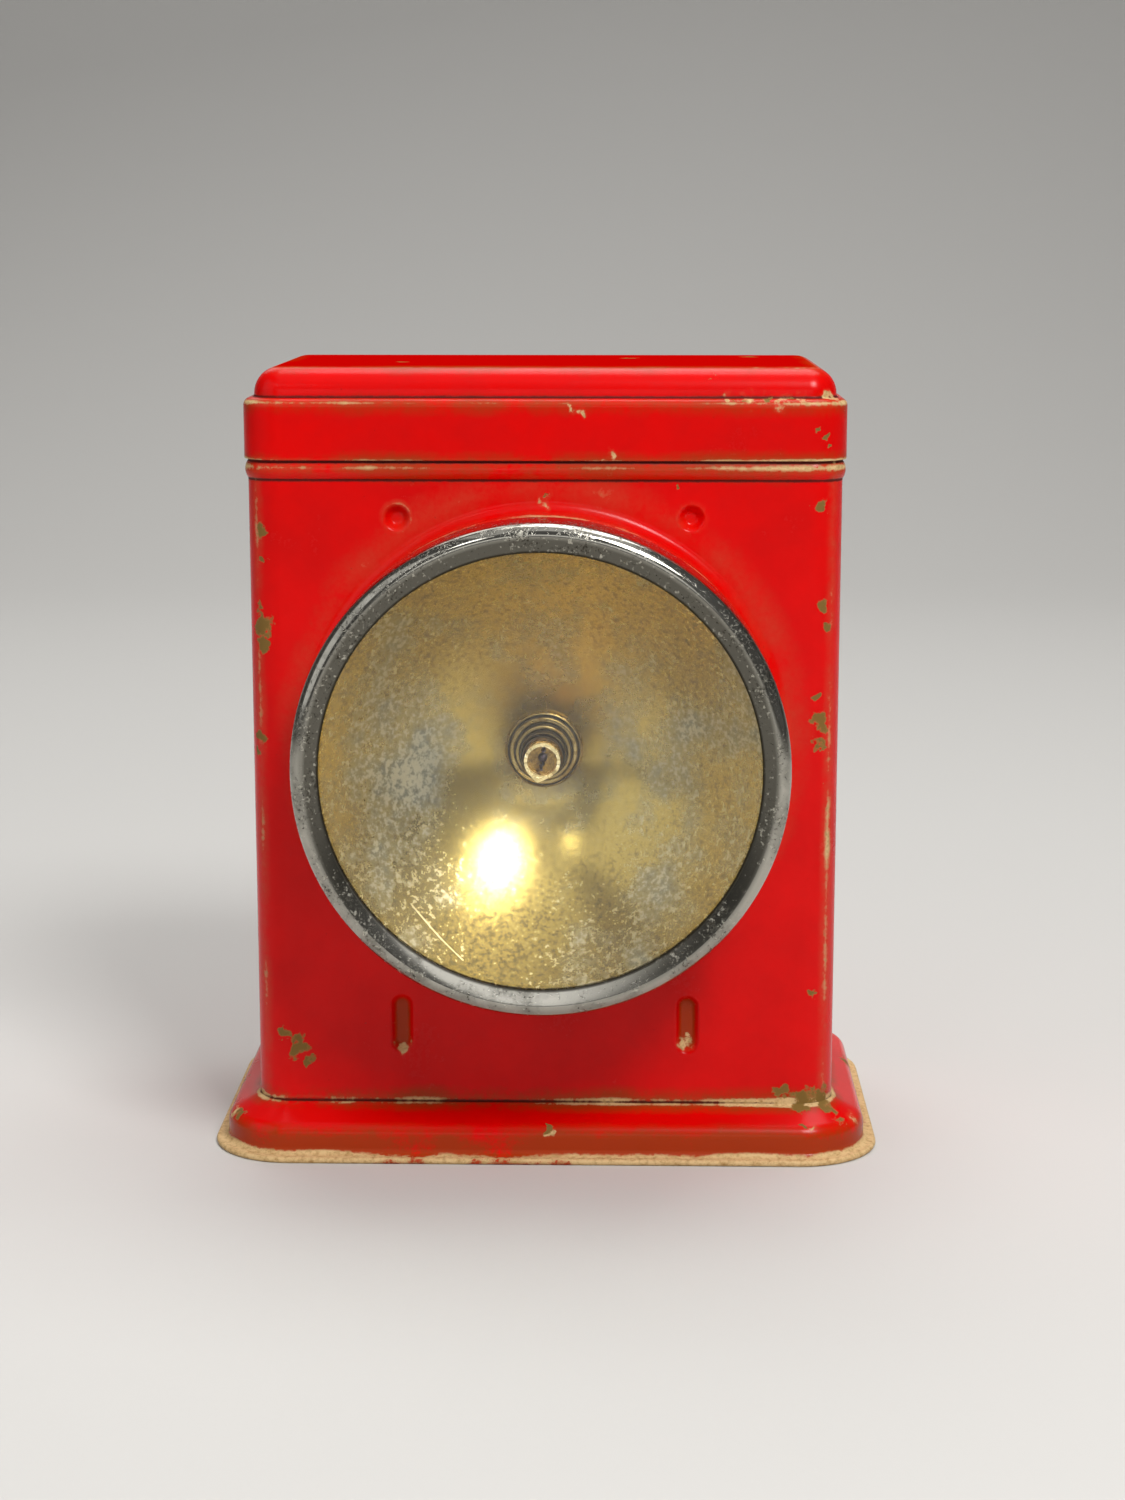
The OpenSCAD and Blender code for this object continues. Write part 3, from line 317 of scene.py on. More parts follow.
def lathe(name, profile, front, x, z, closed=True, steps=LATHE_STEPS):
    """Turns (radius, distance in front of the case) points about an axis that runs forward at x and z."""
    piece = trace(name, [(x + r, front - s, z) for r, s in profile], closed)
    bpy.ops.mesh.spin(steps=steps, angle=math.tau, center=(x, 0, z), axis=(0, 1, 0))
    merge()
    return piece


def sweep_round(name, profile, half_w, half_d, radius, closed=True):
    """Takes (outward, height) points round a rectangle with rounded corners."""
    piece = trace(name, [(half_w + out, radius - half_d, height) for out, height in profile], closed)
    in_w = half_w - radius
    in_d = half_d - radius
    runs = ((0, 2 * in_d, 0), (-2 * in_w, 0, 0), (0, -2 * in_d, 0), (2 * in_w, 0, 0))
    corners = ((in_w, in_d, 0), (-in_w, in_d, 0), (-in_w, -in_d, 0), (in_w, -in_d, 0))
    for run, corner in zip(runs, corners):
        push(run)
        bpy.ops.mesh.spin(steps=CORNER_STEPS, angle=math.pi / 2, center=corner, axis=(0, 0, -1))
    merge()
    return piece


def press(name, profile, front, x, z, run):
    """Takes (outward, depth) points round an upright line of length run, as a stop pressed into the front."""
    piece = trace(name, [(x + r, front - s, z + run / 2) for r, s in profile], closed=False)
    for way in (1, -1):
        centre = (x, 0, z + way * run / 2)
        bpy.ops.mesh.spin(steps=2 * CORNER_STEPS, angle=math.pi, center=centre, axis=(0, 1, 0))
        push((0, 0, -way * run))
    merge()
    return piece


def join(pieces):
    """Joins pieces into the first of them."""
    bpy.ops.object.select_all(action="DESELECT")
    for piece in pieces:
        piece.select_set(True)
    bpy.context.view_layer.objects.active = pieces[0]
    bpy.ops.object.join()
    return pieces[0]


def repeated(piece, offsets):
    """A piece and its copies, each with its own mesh and moved by an offset."""
    pieces = [piece]
    for offset in offsets:
        select_only(piece)
        bpy.ops.object.duplicate_move(TRANSFORM_OT_translate={"value": offset})
        pieces.append(bpy.context.object)
    return pieces


def fill_flat(piece, axis, level):
    """Fills the flat at a level of the x, y or z axis, round the openings whose open edges lie in it."""
    mesh = piece.data
    uses = Counter(key for face in mesh.polygons for key in face.edge_keys)

    def in_flat(edge):
        ends = [getattr(mesh.vertices[i].co, axis) for i in edge.vertices]
        return all(abs(end - level) < CLOSE for end in ends) and uses[edge.key] < 2

    pick(piece, "edges", in_flat)
    bpy.ops.mesh.fill()
    merge()


def open_flat(piece, level, height):
    """Deletes the tall flat faces of a wall at a level of Y, so that openings can be set in them."""
    mesh = piece.data

    def tall(face):
        corners = [mesh.vertices[i].co for i in face.vertices]
        flat = all(abs(c.y - level) < CLOSE for c in corners)
        return flat and max(c.z for c in corners) - min(c.z for c in corners) > height

    pick(piece, "polygons", tall)
    bpy.ops.mesh.delete(type="ONLY_FACE")
    bpy.ops.object.mode_set(mode="OBJECT")


def apply_modifier(piece, kind, **settings):
    """Adds a modifier with its settings and applies it."""
    bpy.context.view_layer.objects.active = piece
    bpy.ops.object.modifier_add(type=kind)
    modifier = piece.modifiers[-1]
    for key, value in settings.items():
        setattr(modifier, key, value)
    bpy.ops.object.modifier_apply(modifier=modifier.name)


def dress(piece, material, body, slot, *nodes):
    """Shades a finished piece, gives it its finish and sets it in the frame in place of its CAD nodes."""
    smooth_up_to = math.radians(30)
    select_only(piece)
    bpy.ops.object.shade_smooth_by_angle(angle=smooth_up_to)
    apply_modifier(piece, "WEIGHTED_NORMAL", keep_sharp=True)
    piece.data.materials.clear()
    piece.data.materials.append(material)
    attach(piece, body)
    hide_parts(*nodes)


def soft_copy(node, edge, material, slot):
    """A copy of a CAD node with its triangles merged, its edges eased and its curves shaded smooth."""
    flat_within = math.radians(0.5)
    sharp_from = math.radians(40)
    source = frame["nodes"][node]
    body = source["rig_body"]
    select_only(source)
    bpy.ops.object.duplicate()
    piece = bpy.context.object
    del piece["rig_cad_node"]
    piece.name = node + "_smooth"
    piece.data.name = piece.name
    bpy.ops.object.mode_set(mode="EDIT")
    bpy.ops.mesh.select_all(action="SELECT")
    bpy.ops.mesh.remove_doubles(threshold=MERGE)
    bpy.ops.mesh.dissolve_limited(angle_limit=flat_within)
    bpy.ops.object.mode_set(mode="OBJECT")
    if edge:
        apply_modifier(piece, "BEVEL", width=edge, segments=2, limit_method="ANGLE", angle_limit=sharp_from)
    dress(piece, material, body, slot, node)


def put(tree, kind, inputs=None, out=0, **settings):
    """Adds a shader node, sets it, fills its inputs with values or other outputs and returns an output.

    Inputs that share a name go by number: a MapRange reads the range 1 to 2 and gives 3 to 4, a Mix of
    numbers has its share at 0 and the two at 2 and 3, and a Mix of colours has the two at 6 and 7.
    """
    made = tree.nodes.new("ShaderNode" + kind)
    for key, value in settings.items():
        setattr(made, key, value)
    for key, value in (inputs or {}).items():
        if isinstance(value, bpy.types.NodeSocket):
            tree.links.new(value, made.inputs[key])
        else:
            made.inputs[key].default_value = value
    return made.outputs[out] if made.outputs else None


def new_finish(name):
    """A new material with no nodes, its node tree and the place on the piece in metres."""
    material = bpy.data.materials.new(name)
    material.use_nodes = True
    tree = material.node_tree
    tree.nodes.clear()
    return material, tree, put(tree, "TexCoord", out="Object")


def end_finish(tree, relief, inputs):
    """Ends a finish: its relief in metres as bump, one shader that takes the inputs, and the output."""
    normal = put(tree, "Bump", {"Strength": 1, "Distance": 1, "Height": relief})
    shader = put(tree, "BsdfPrincipled", {**inputs, "Normal": normal})
    put(tree, "OutputMaterial", {"Surface": shader})


def end_glass(tree, inputs):
    """Ends a glass: one shader that takes the inputs and lets the lamps straight through, and the output."""
    glass = put(tree, "BsdfPrincipled", inputs)
    through = put(tree, "BsdfTransparent")
    shadow = put(tree, "LightPath", out="Is Shadow Ray")
    surface = put(tree, "MixShader", {0: shadow, 1: glass, 2: through})
    put(tree, "OutputMaterial", {"Surface": surface})


def spots(places_mm):
    """Worn places of (x, y, z, radius) in millimetres, as points, radii and a full strength in metres."""
    return [((x * MM, y * MM, z * MM), radius * MM, 1) for x, y, z, radius in places_mm]


def plan_distance(tree, place, half_w, half_d, radius):
    """How far outside a rectangle with rounded corners, seen from above, a place lies."""
    inner = (half_w - radius, half_d - radius, 0)
    plan = put(tree, "VectorMath", {0: place, 1: (1, 1, 0)}, operation="MULTIPLY")
    plan = put(tree, "VectorMath", {0: plan}, operation="ABSOLUTE")
    beyond = put(tree, "VectorMath", {0: plan, 1: inner}, operation="SUBTRACT")
    corner = put(tree, "VectorMath", {0: beyond, 1: (0, 0, 0)}, operation="MAXIMUM")
    corner = put(tree, "VectorMath", {0: corner}, out="Value", operation="LENGTH")
    beyond_x = put(tree, "SeparateXYZ", {0: beyond}, out="X")
    inside = put(tree, "Math", {0: beyond_x, 1: beyond_x.node.outputs["Y"]}, operation="MAXIMUM")
    inside = put(tree, "Math", {0: inside, 1: 0}, operation="MINIMUM")
    total = put(tree, "Math", {0: corner, 1: inside}, operation="ADD")
    return put(tree, "Math", {0: total, 1: radius}, operation="SUBTRACT")


def nearness(tree, place, marks):
    """How near a place is to any mark: a mark's strength at its point, falling to 0 at twice its radius."""
    near = 0
    for point, radius, strength in marks:
        away = put(tree, "VectorMath", {0: place, 1: point}, out="Value", operation="DISTANCE")
        fall = put(tree, "Math", {0: away, 1: -strength / 2 / radius, 2: strength}, operation="MULTIPLY_ADD")
        near = put(tree, "Math", {0: near, 1: fall}, operation="MAXIMUM")
    return near


def axis_distance(tree, place, x, z):
    """How far a place lies from an axis that runs forward at x and z."""
    off = put(tree, "VectorMath", {0: place, 1: (x, 0, z)}, operation="SUBTRACT")
    off = put(tree, "VectorMath", {0: off, 1: (1, 0, 1)}, operation="MULTIPLY")
    return put(tree, "VectorMath", {0: off}, out="Value", operation="LENGTH")


def line_nearness(tree, place, start, end, width):
    """1 on a straight line from start to end, falling evenly to 0 at its width."""
    start = Vector(start)
    run = Vector(end) - start
    along = run / run.length_squared
    off = put(tree, "VectorMath", {0: place, 1: start}, operation="SUBTRACT")
    share = put(tree, "VectorMath", {0: off, 1: along}, out="Value", operation="DOT_PRODUCT")
    share = put(tree, "Math", {0: share, 1: 1}, operation="MULTIPLY", use_clamp=True)
    foot = put(tree, "VectorMath", {0: run, "Scale": share}, operation="SCALE")
    away = put(tree, "VectorMath", {0: off, 1: foot}, out="Value", operation="DISTANCE")
    return put(tree, "Math", {0: away, 1: -1 / width, 2: 1}, operation="MULTIPLY_ADD", use_clamp=True)


def rubbing(tree, place, section, shaken, wall, worn_lines, rubs, rings, upright):
    """How far enamel is rubbed along its lines and in its rubs, with a pale tan line down its corners and
    round its rings, which on the collar are also a painted sheen.
    """
    half_w, half_d, corner_r = wall
    corner_reach = 1.6 * MM
    lines = [((out, height, 0), reach, strength) for out, height, reach, strength in worn_lines]
    rubbed = nearness(tree, section, lines)

    # The lines are worn more towards the corners
    folded = put(tree, "VectorMath", {0: place, 1: (1, 1, 0)}, operation="MULTIPLY")
    folded = put(tree, "VectorMath", {0: folded}, operation="ABSOLUTE")
    to_corner = put(tree, "VectorMath", {0: folded, 1: (half_w, half_d, 1)}, operation="DIVIDE")
    to_corner = put(tree, "SeparateXYZ", {0: to_corner}, out="X")
    to_corner = put(tree, "Math", {0: to_corner, 1: to_corner.node.outputs["Y"]}, operation="MINIMUM")
    to_corner = put(tree, "MapRange", {0: to_corner, 1: 0.5, 2: 1, 3: 0.7, 4: 1.35})
    rubbed = put(tree, "Math", {0: rubbed, 1: to_corner}, operation="MULTIPLY")

    marks = [nearness(tree, shaken, rubs)]
    # A pale tan line is laid down the upright corners
    if upright:
        in_from = corner_r * (1 - math.cos(math.pi / 4))
        corner = ((half_w - in_from, half_d - in_from, 0), corner_reach, upright)
        marks.append(nearness(tree, folded, [corner]))
    forward = put(tree, "SeparateXYZ", {0: place}, out="Y")
    for x, y, z, radius, reach, strength in rings:
        ring_section = put(tree, "CombineXYZ", {0: axis_distance(tree, place, x, z), 1: forward})
        marks.append(nearness(tree, ring_section, [((radius, y, 0), reach, strength)]))
    for mark in marks:
        rubbed = put(tree, "Math", {0: rubbed, 1: mark}, operation="MAXIMUM")
    return rubbed


def filming(tree, place, section, lines, strips):
    """How thick a brown film lies along the lines, with three times their reach, and on the strips."""
    marks = [((out, height, 0), 3 * reach, strength) for out, height, reach, strength in lines]
    film = nearness(tree, section, marks)
    for start, end, width, strength in strips:
        strip = line_nearness(tree, place, start, end, width)
        strip = put(tree, "Math", {0: strip, 1: strength}, operation="MULTIPLY")
        film = put(tree, "Math", {0: film, 1: strip}, operation="MAXIMUM")
    return film


def red_enamel(
    name, colours, wall, worn_lines, creases, rubs, chips, rings=(), strips=(), films=(), upright=0, dull_z=1
):
    """Enamel stoved onto sheet steel, rubbed thin along its edges and chipped down to the steel.

    wall is the half width, half depth and corner radius that the lines follow. A worn line is (outward,
    height, reach, strength), a film the same for a line with a brown film but no wear, and a crease (outward,
    height, reach) of a line darkened as painted shade. rubs and chips come from spots(). A ring is the (x, y,
    z, radius, reach, strength) of a worn circle that faces forward and a strip the (start, end, width,
    strength) of a line with a brown film. upright is the strength of a pale tan line down the upright
    corners, and above dull_z dust has dulled the gloss and the red is darkened as painted shade.
    """
    # Gloss enamel gives an even deep red with soft highlights, a faint orange peel and shallow dents
    material, tree, place = new_finish(name)
    height = put(tree, "SeparateXYZ", {0: place}, out="Z")
    section = put(tree, "CombineXYZ", {0: plan_distance(tree, place, *wall), 1: height})
    fine = put(tree, "TexNoise", {"Vector": place, "Scale": 1 / (1.3 * MM), "Detail": 8, "Roughness": 0.7})
    stretch = put(tree, "TexNoise", {"Vector": place, "Scale": 1 / (20 * MM), "Detail": 4, "Roughness": 0.6})
    shake = put(tree, "TexNoise", {"Vector": place, "Scale": 1 / (3.5 * MM), "Detail": 4}, out="Color")
    shake = put(tree, "VectorMath", {0: shake, 1: (0.5, 0.5, 0.5)}, operation="SUBTRACT")
    shaken = put(tree, "VectorMath", {0: shake, 1: (8 * MM,) * 3, 2: place}, operation="MULTIPLY_ADD")
    uneven = put(tree, "Math", {0: stretch, 1: 3.8, 2: -1.7}, operation="MULTIPLY_ADD")
    uneven = put(tree, "Math", {0: fine, 1: 1.6, 2: uneven}, operation="MULTIPLY_ADD")

    # Edges are rubbed in stretches down to tan primer, with thin pinkish enamel round the tan; round the
    # collar that pink is also a painted sheen
    rubbed = rubbing(tree, place, section, shaken, wall, worn_lines, rubs, rings, upright)
    rubbed = put(tree, "Math", {0: rubbed, 1: uneven}, operation="MULTIPLY")
    faded_and_sheen = put(tree, "MapRange", {0: rubbed, 1: 0.12, 2: 0.6, 4: 0.6})
    thin = put(tree, "MapRange", {0: rubbed, 1: 0.45, 2: 0.8}, interpolation_type="SMOOTHSTEP")
    browned = put(tree, "MapRange", {0: fine, 1: 0.46, 2: 0.7})
    tones = {0: browned, 6: colours.primer, 7: colours.primer_dark}
    primer = put(tree, "Mix", tones, out=2, data_type="RGBA")

    # Chips have a ragged outline, a rim of primer and olive brown steel inside
    chipped = nearness(tree, shaken, chips)
    chipped = put(tree, "Math", {0: fine, 1: 0.7, 2: chipped}, operation="MULTIPLY_ADD")
    bare = put(tree, "MapRange", {0: chipped, 1: 0.82, 2: 0.95}, interpolation_type="SMOOTHSTEP")
    deep = put(tree, "MapRange", {0: chipped, 1: 0.86, 2: 1.02})
    steel = put(tree, "Mix", {0: deep, 6: colours.primer_dark, 7: colours.bare}, out=2, data_type="RGBA")

    # Painted shade darkens the creases, dirt lies in fine specks, and a thin brown film beside the worn edges
    painted_shade = nearness(tree, section, [((out, level, 0), reach, 1) for out, level, reach in creases])
    painted_shade = put(tree, "Math", {0: fine, 1: 0.6, 2: painted_shade}, operation="MULTIPLY_ADD")
    painted_shade = put(tree, "MapRange", {0: painted_shade, 1: 0.7, 2: 1.1, 4: 0.85})
    speck = put(tree, "MapRange", {0: fine, 1: 0.66, 2: 0.72, 4: 0.35})
    film = filming(tree, place, section, (*worn_lines, *films), strips)
    film = put(tree, "Math", {0: film, 1: uneven}, operation="MULTIPLY")
    film = put(tree, "MapRange", {0: film, 1: 0.2, 2: 0.9, 4: 0.75})

    # The red is deeper where the enamel lies thick, and above dull_z it is darkened as painted shade
    thick_and_top_shade = put(tree, "MapRange", {0: stretch, 1: 0.35, 2: 0.7, 4: 0.45})
    # The dust mask dulls the gloss and also darkens the red as painted shade
    dust = put(tree, "MapRange", {0: height, 1: dull_z, 2: dull_z + 0.3 * MM})
    thick_and_top_shade = put(tree, "Math", {0: thick_and_top_shade, 1: dust}, operation="MAXIMUM")
    coats = (
        (thick_and_top_shade, colours.enamel_deep), (faded_and_sheen, colours.faded_and_sheen), (film, colours.film), (speck, colours.grime_and_shade),
        (painted_shade, colours.grime_and_shade), (thin, primer), (bare, steel),
    )
    colour = colours.enamel
    for share, coat in coats:
        colour = put(tree, "Mix", {0: share, 6: colour, 7: coat}, out=2, data_type="RGBA")

    # Only sound, clean enamel is glossy
    gloss = put(tree, "MapRange", {0: stretch, 1: 0.3, 2: 0.7, 3: 0.12, 4: 0.22})
    gloss = put(tree, "Math", {0: fine, 1: 0.12, 2: gloss}, operation="MULTIPLY_ADD")
    dull = bare
    for share in (painted_shade, thin, dust):
        dull = put(tree, "Math", {0: dull, 1: share}, operation="MAXIMUM")
    rough = put(tree, "Mix", {0: dull, 2: gloss, 3: 0.6})
    shine = put(tree, "MapRange", {0: dust, 3: 0.15, 4: 0})

    peel = put(tree, "TexNoise", {"Vector": place, "Scale": 1 / (1.4 * MM), "Detail": 1})
    dents = put(tree, "TexNoise", {"Vector": place, "Scale": 1 / (38 * MM), "Detail": 1})
    relief = put(tree, "Math", {0: peel, 1: 0.004 * MM}, operation="MULTIPLY")
    relief = put(tree, "Math", {0: dents, 1: 0.14 * MM, 2: relief}, operation="MULTIPLY_ADD")
    relief = put(tree, "Math", {0: bare, 1: -0.08 * MM, 2: relief}, operation="MULTIPLY_ADD")
    end_finish(tree, relief, {"Base Color": colour, "Roughness": rough, "Specular IOR Level": shine})
    return material


def pitted_chrome(name, colours, lamp_z, window_r, face_r, brighter_reflection):
    """Chrome plate on a spun brass ring, with a painted dark reflection inside face_r that is lifted round
    the brighter_reflection marks, and painted shade next to the glass.
    """
    # A shoulder polished by hands and a face darkened as painted dark reflection, broken by fine dark pits
    # and pale flecks in crowds
    material, tree, place = new_finish(name)
    off_axis = axis_distance(tree, place, 0, lamp_z)
    crowds = put(tree, "TexNoise", {"Vector": place, "Scale": 1 / (9 * MM), "Detail": 4, "Roughness": 0.6})
    pits = put(tree, "TexNoise", {"Vector": place, "Scale": 1 / (0.7 * MM), "Detail": 6, "Roughness": 0.75})
    pits_and_edge_shade = put(tree, "Math", {0: crowds, 1: 0.45, 2: pits}, operation="MULTIPLY_ADD")
    pits_and_edge_shade = put(tree, "MapRange", {0: pits_and_edge_shade, 1: 0.79, 2: 0.9, 4: 0.85}, interpolation_type="SMOOTHSTEP")
    # Next to the glass the chrome is darkened as painted shade
    near_glass = {0: off_axis, 1: window_r + 0.25 * MM, 2: window_r + 0.7 * MM, 3: 0.9, 4: 0}
    painted_shade = put(tree, "MapRange", near_glass)
    pits_and_edge_shade = put(tree, "Math", {0: pits_and_edge_shade, 1: painted_shade}, operation="MAXIMUM")
    # Inside face_r the chrome is darkened as painted dark reflection, less round the brighter_reflection
    # marks
    face = put(tree, "MapRange", {0: off_axis, 1: face_r - 0.6 * MM, 2: face_r + 1.2 * MM, 3: 0.9, 4: 0})
    dark_reflection = nearness(tree, place, brighter_reflection)
    dark_reflection = put(tree, "Math", {0: dark_reflection, 1: -1.6, 2: 1}, operation="MULTIPLY_ADD", use_clamp=True)
    face = put(tree, "Math", {0: face, 1: dark_reflection}, operation="MULTIPLY")
    haze_and_dark_reflection = put(tree, "MapRange", {0: crowds, 1: 0.42, 2: 0.7, 4: 0.7})
    haze_and_dark_reflection = put(tree, "Math", {0: haze_and_dark_reflection, 1: face}, operation="MAXIMUM")
    flecks = put(tree, "TexNoise", {"Vector": place, "Scale": 1 / (1.1 * MM), "Detail": 5, "Roughness": 0.7})
    flecks = put(tree, "Math", {0: crowds, 1: 0.35, 2: flecks}, operation="MULTIPLY_ADD")
    flecks = put(tree, "MapRange", {0: flecks, 1: 0.75, 2: 0.84, 4: 0.8}, interpolation_type="SMOOTHSTEP")

    tones = ((haze_and_dark_reflection, colours.chrome_haze_and_dark_reflection), (flecks, colours.chrome_fleck), (pits_and_edge_shade, colours.chrome_pit_and_shade))
    colour = colours.chrome
    for share, over in tones:
        colour = put(tree, "Mix", {0: share, 6: colour, 7: over}, out=2, data_type="RGBA")
    rough = put(tree, "MapRange", {0: haze_and_dark_reflection, 3: 0.08, 4: 0.2})
    for share, over in ((flecks, 0.4), (pits_and_edge_shade, 0.55)):
        rough = put(tree, "Mix", {0: share, 2: rough, 3: over})
    relief = put(tree, "Math", {0: pits_and_edge_shade, 1: -0.025 * MM}, operation="MULTIPLY")
    end_finish(tree, relief, {"Base Color": colour, "Metallic": 1, "Roughness": rough})
    return material


def silvered_brass(name, colours, apex, clouds, scratches):
    """Silvered brass bowl, clouded, speckled and scratched, with a brown stain round its apex."""
    # A soft warm mirror: gold where the silvering is thin, grey where it is clouded, speckled all over
    material, tree, place = new_finish(name)
    stain_r = 9 * MM
    scratch_w = 0.3 * MM
    cloud = put(tree, "TexNoise", {"Vector": place, "Scale": 1 / (26 * MM), "Detail": 6, "Roughness": 0.62})
    cloud = put(tree, "Math", {0: nearness(tree, place, clouds), 1: 0.2, 2: cloud}, operation="MULTIPLY_ADD")
    clouded = put(tree, "MapRange", {0: cloud, 1: 0.47, 2: 0.68})

    # Light and dark specks, fewer near the socket
    fleck = put(tree, "TexNoise", {"Vector": place, "Scale": 1 / (1.25 * MM), "Detail": 5, "Roughness": 0.65})
    outer = put(tree, "VectorMath", {0: place, 1: apex}, out="Value", operation="DISTANCE")
    outer = put(tree, "Math", {0: cloud, 1: 30 * MM, 2: outer}, operation="MULTIPLY_ADD")
    outer = put(tree, "MapRange", {0: outer, 1: 32 * MM, 2: 56 * MM, 3: 0.15, 4: 1})
    light = put(tree, "Math", {0: cloud, 1: 0.6, 2: fleck}, operation="MULTIPLY_ADD")
    light = put(tree, "MapRange", {0: light, 1: 0.82, 2: 0.98, 4: 0.62}, interpolation_type="SMOOTHSTEP")
    light = put(tree, "Math", {0: light, 1: outer}, operation="MULTIPLY")
    dark = put(tree, "Math", {0: cloud, 1: -0.5, 2: 1}, operation="MULTIPLY_ADD")
    dark = put(tree, "Math", {0: dark, 1: fleck}, operation="SUBTRACT")
    dark = put(tree, "MapRange", {0: dark, 1: 0.27, 2: 0.44, 4: 0.6}, interpolation_type="SMOOTHSTEP")
    dark = put(tree, "Math", {0: dark, 1: outer}, operation="MULTIPLY")
    stained = nearness(tree, place, [(apex, stain_r, 1)])
    stained = put(tree, "Math", {0: cloud, 1: 0.9, 2: stained}, operation="MULTIPLY_ADD")
    stained = put(tree, "MapRange", {0: stained, 1: 0.72, 2: 1.4, 4: 0.75})

    tones = (
        (clouded, colours.tarnish), (light, colours.silver), (dark, colours.stain), (stained, colours.stain),
    )
    colour = colours.gilt
    for share, tone in tones:
        colour = put(tree, "Mix", {0: share, 6: colour, 7: tone}, out=2, data_type="RGBA")
    rough = put(tree, "MapRange", {0: clouded, 3: 0.23, 4: 0.34})
    rough = put(tree, "Mix", {0: light, 2: rough, 3: 0.44})
    for start, end in scratches:
        line = line_nearness(tree, place, start, end, scratch_w)
        line = put(tree, "MapRange", {0: line, 1: 0.1, 2: 0.6, 4: 0.4})
        colour = put(tree, "Mix", {0: line, 6: colour, 7: colours.scratch}, out=2, data_type="RGBA")
        rough = put(tree, "Mix", {0: line, 2: rough, 3: 0.65})
    relief = put(tree, "Math", {0: light, 1: 0.012 * MM}, operation="MULTIPLY")
    end_finish(tree, relief, {"Base Color": colour, "Metallic": 1, "Roughness": rough})
    return material


def clear_glass(name):
    """Flat polished glass that lets the lamps through to what lies behind it."""
    # A clear pane with a clean reflection and a few faint smears of dust
    material, tree, place = new_finish(name)
    dust = put(tree, "TexNoise", {"Vector": place, "Scale": 1 / (6 * MM), "Detail": 5})
    rough = put(tree, "MapRange", {0: dust, 1: 0.5, 2: 0.8, 3: 0.0, 4: 0.06})
    inputs = {"Base Color": linear("FCFDFA"), "Roughness": rough, "IOR": 1.47, "Transmission Weight": 1}
    end_glass(tree, inputs)
    return material


def broken_glass(name, break_y):
    """Thin old glass of a bulb, broken off round break_y."""
    # Cloudy amber glass, yellowed by the cement behind it and white along the break
    material, tree, place = new_finish(name)
    smear = put(tree, "TexNoise", {"Vector": place, "Scale": 1 / (1.5 * MM), "Detail": 5})
    film = put(tree, "MapRange", {0: smear, 1: 0.4, 2: 0.65, 3: 0.1, 4: 0.4})
    forward = put(tree, "SeparateXYZ", {0: place}, out="Y")
    broken = put(tree, "MapRange", {0: forward, 1: break_y + 1.5 * MM, 2: break_y - 0.5 * MM})
    tones = {0: broken, 6: linear("B8913F"), 7: linear("E6D6A4")}
    amber = put(tree, "Mix", tones, out=2, data_type="RGBA")
    end_glass(tree, {"Base Color": amber, "Roughness": film, "IOR": 1.5, "Transmission Weight": 0.3})
    return material


def aged_metal(name, bright, dull, grain, gloss, lamp_z=0, grooves=()):
    """Rolled, spun or plated metal gone dull in patches, with painted shade in the grooves of a turned piece.
    """
    # The patches change both tint and gloss, so a plain turned shape still shows its age
    material, tree, place = new_finish(name)
    grime_and_shade = linear("1C140A")
    patch = put(tree, "TexNoise", {"Vector": place, "Scale": 1 / (4 * MM), "Detail": 6, "Roughness": 0.65})
    fine = put(tree, "TexNoise", {"Vector": place, "Scale": 1 / grain, "Detail": 3})
    aged = put(tree, "MapRange", {0: patch, 1: 0.4, 2: 0.66})
    colour = put(tree, "Mix", {0: aged, 6: bright, 7: dull}, out=2, data_type="RGBA")
    rough = put(tree, "MapRange", {0: aged, 3: gloss, 4: gloss + 0.25})
    # The grooves are darkened as painted shade
    for radius in grooves:
        off = put(tree, "Math", {0: axis_distance(tree, place, 0, lamp_z), 1: radius}, operation="SUBTRACT")
        off = put(tree, "Math", {0: off}, operation="ABSOLUTE")
        painted_shade = put(tree, "MapRange", {0: off, 1: 0.15 * MM, 2: 0.6 * MM, 3: 0.9, 4: 0})
        colour = put(tree, "Mix", {0: painted_shade, 6: colour, 7: grime_and_shade}, out=2, data_type="RGBA")
        rough = put(tree, "Mix", {0: painted_shade, 2: rough, 3: 0.7})
    relief = put(tree, "Math", {0: fine, 1: 0.01 * MM}, operation="MULTIPLY")
    end_finish(tree, relief, {"Base Color": colour, "Metallic": 1, "Roughness": rough})
    return material


def nickelled_steel(colours):
    """Plated steel of the switch, its rivets and the socket's ring."""
    # Pale grey plate with dull warm patches
    return aged_metal("nickelled_steel", colours.nickel, linear("857E70"), 0.5 * MM, 0.26)


def mottled(name, light, dark, size, rough, relief):
    """Matt stuff with two close tones, such as paper, pitch, carbon, fibre or cement."""
    # Two tones at the size of the stuff's own grain, with the grain standing up as relief
    material, tree, place = new_finish(name)
    grain = put(tree, "TexNoise", {"Vector": place, "Scale": 1 / size, "Detail": 6, "Roughness": 0.7})
    tone = put(tree, "MapRange", {0: grain, 1: 0.35, 2: 0.65})
    colour = put(tree, "Mix", {0: tone, 6: light, 7: dark}, out=2, data_type="RGBA")
    gloss = put(tree, "MapRange", {0: tone, 3: rough - 0.08, 4: rough + 0.08})
    raised = put(tree, "Math", {0: grain, 1: relief}, operation="MULTIPLY")
    end_finish(tree, raised, {"Base Color": colour, "Roughness": gloss})
    return material


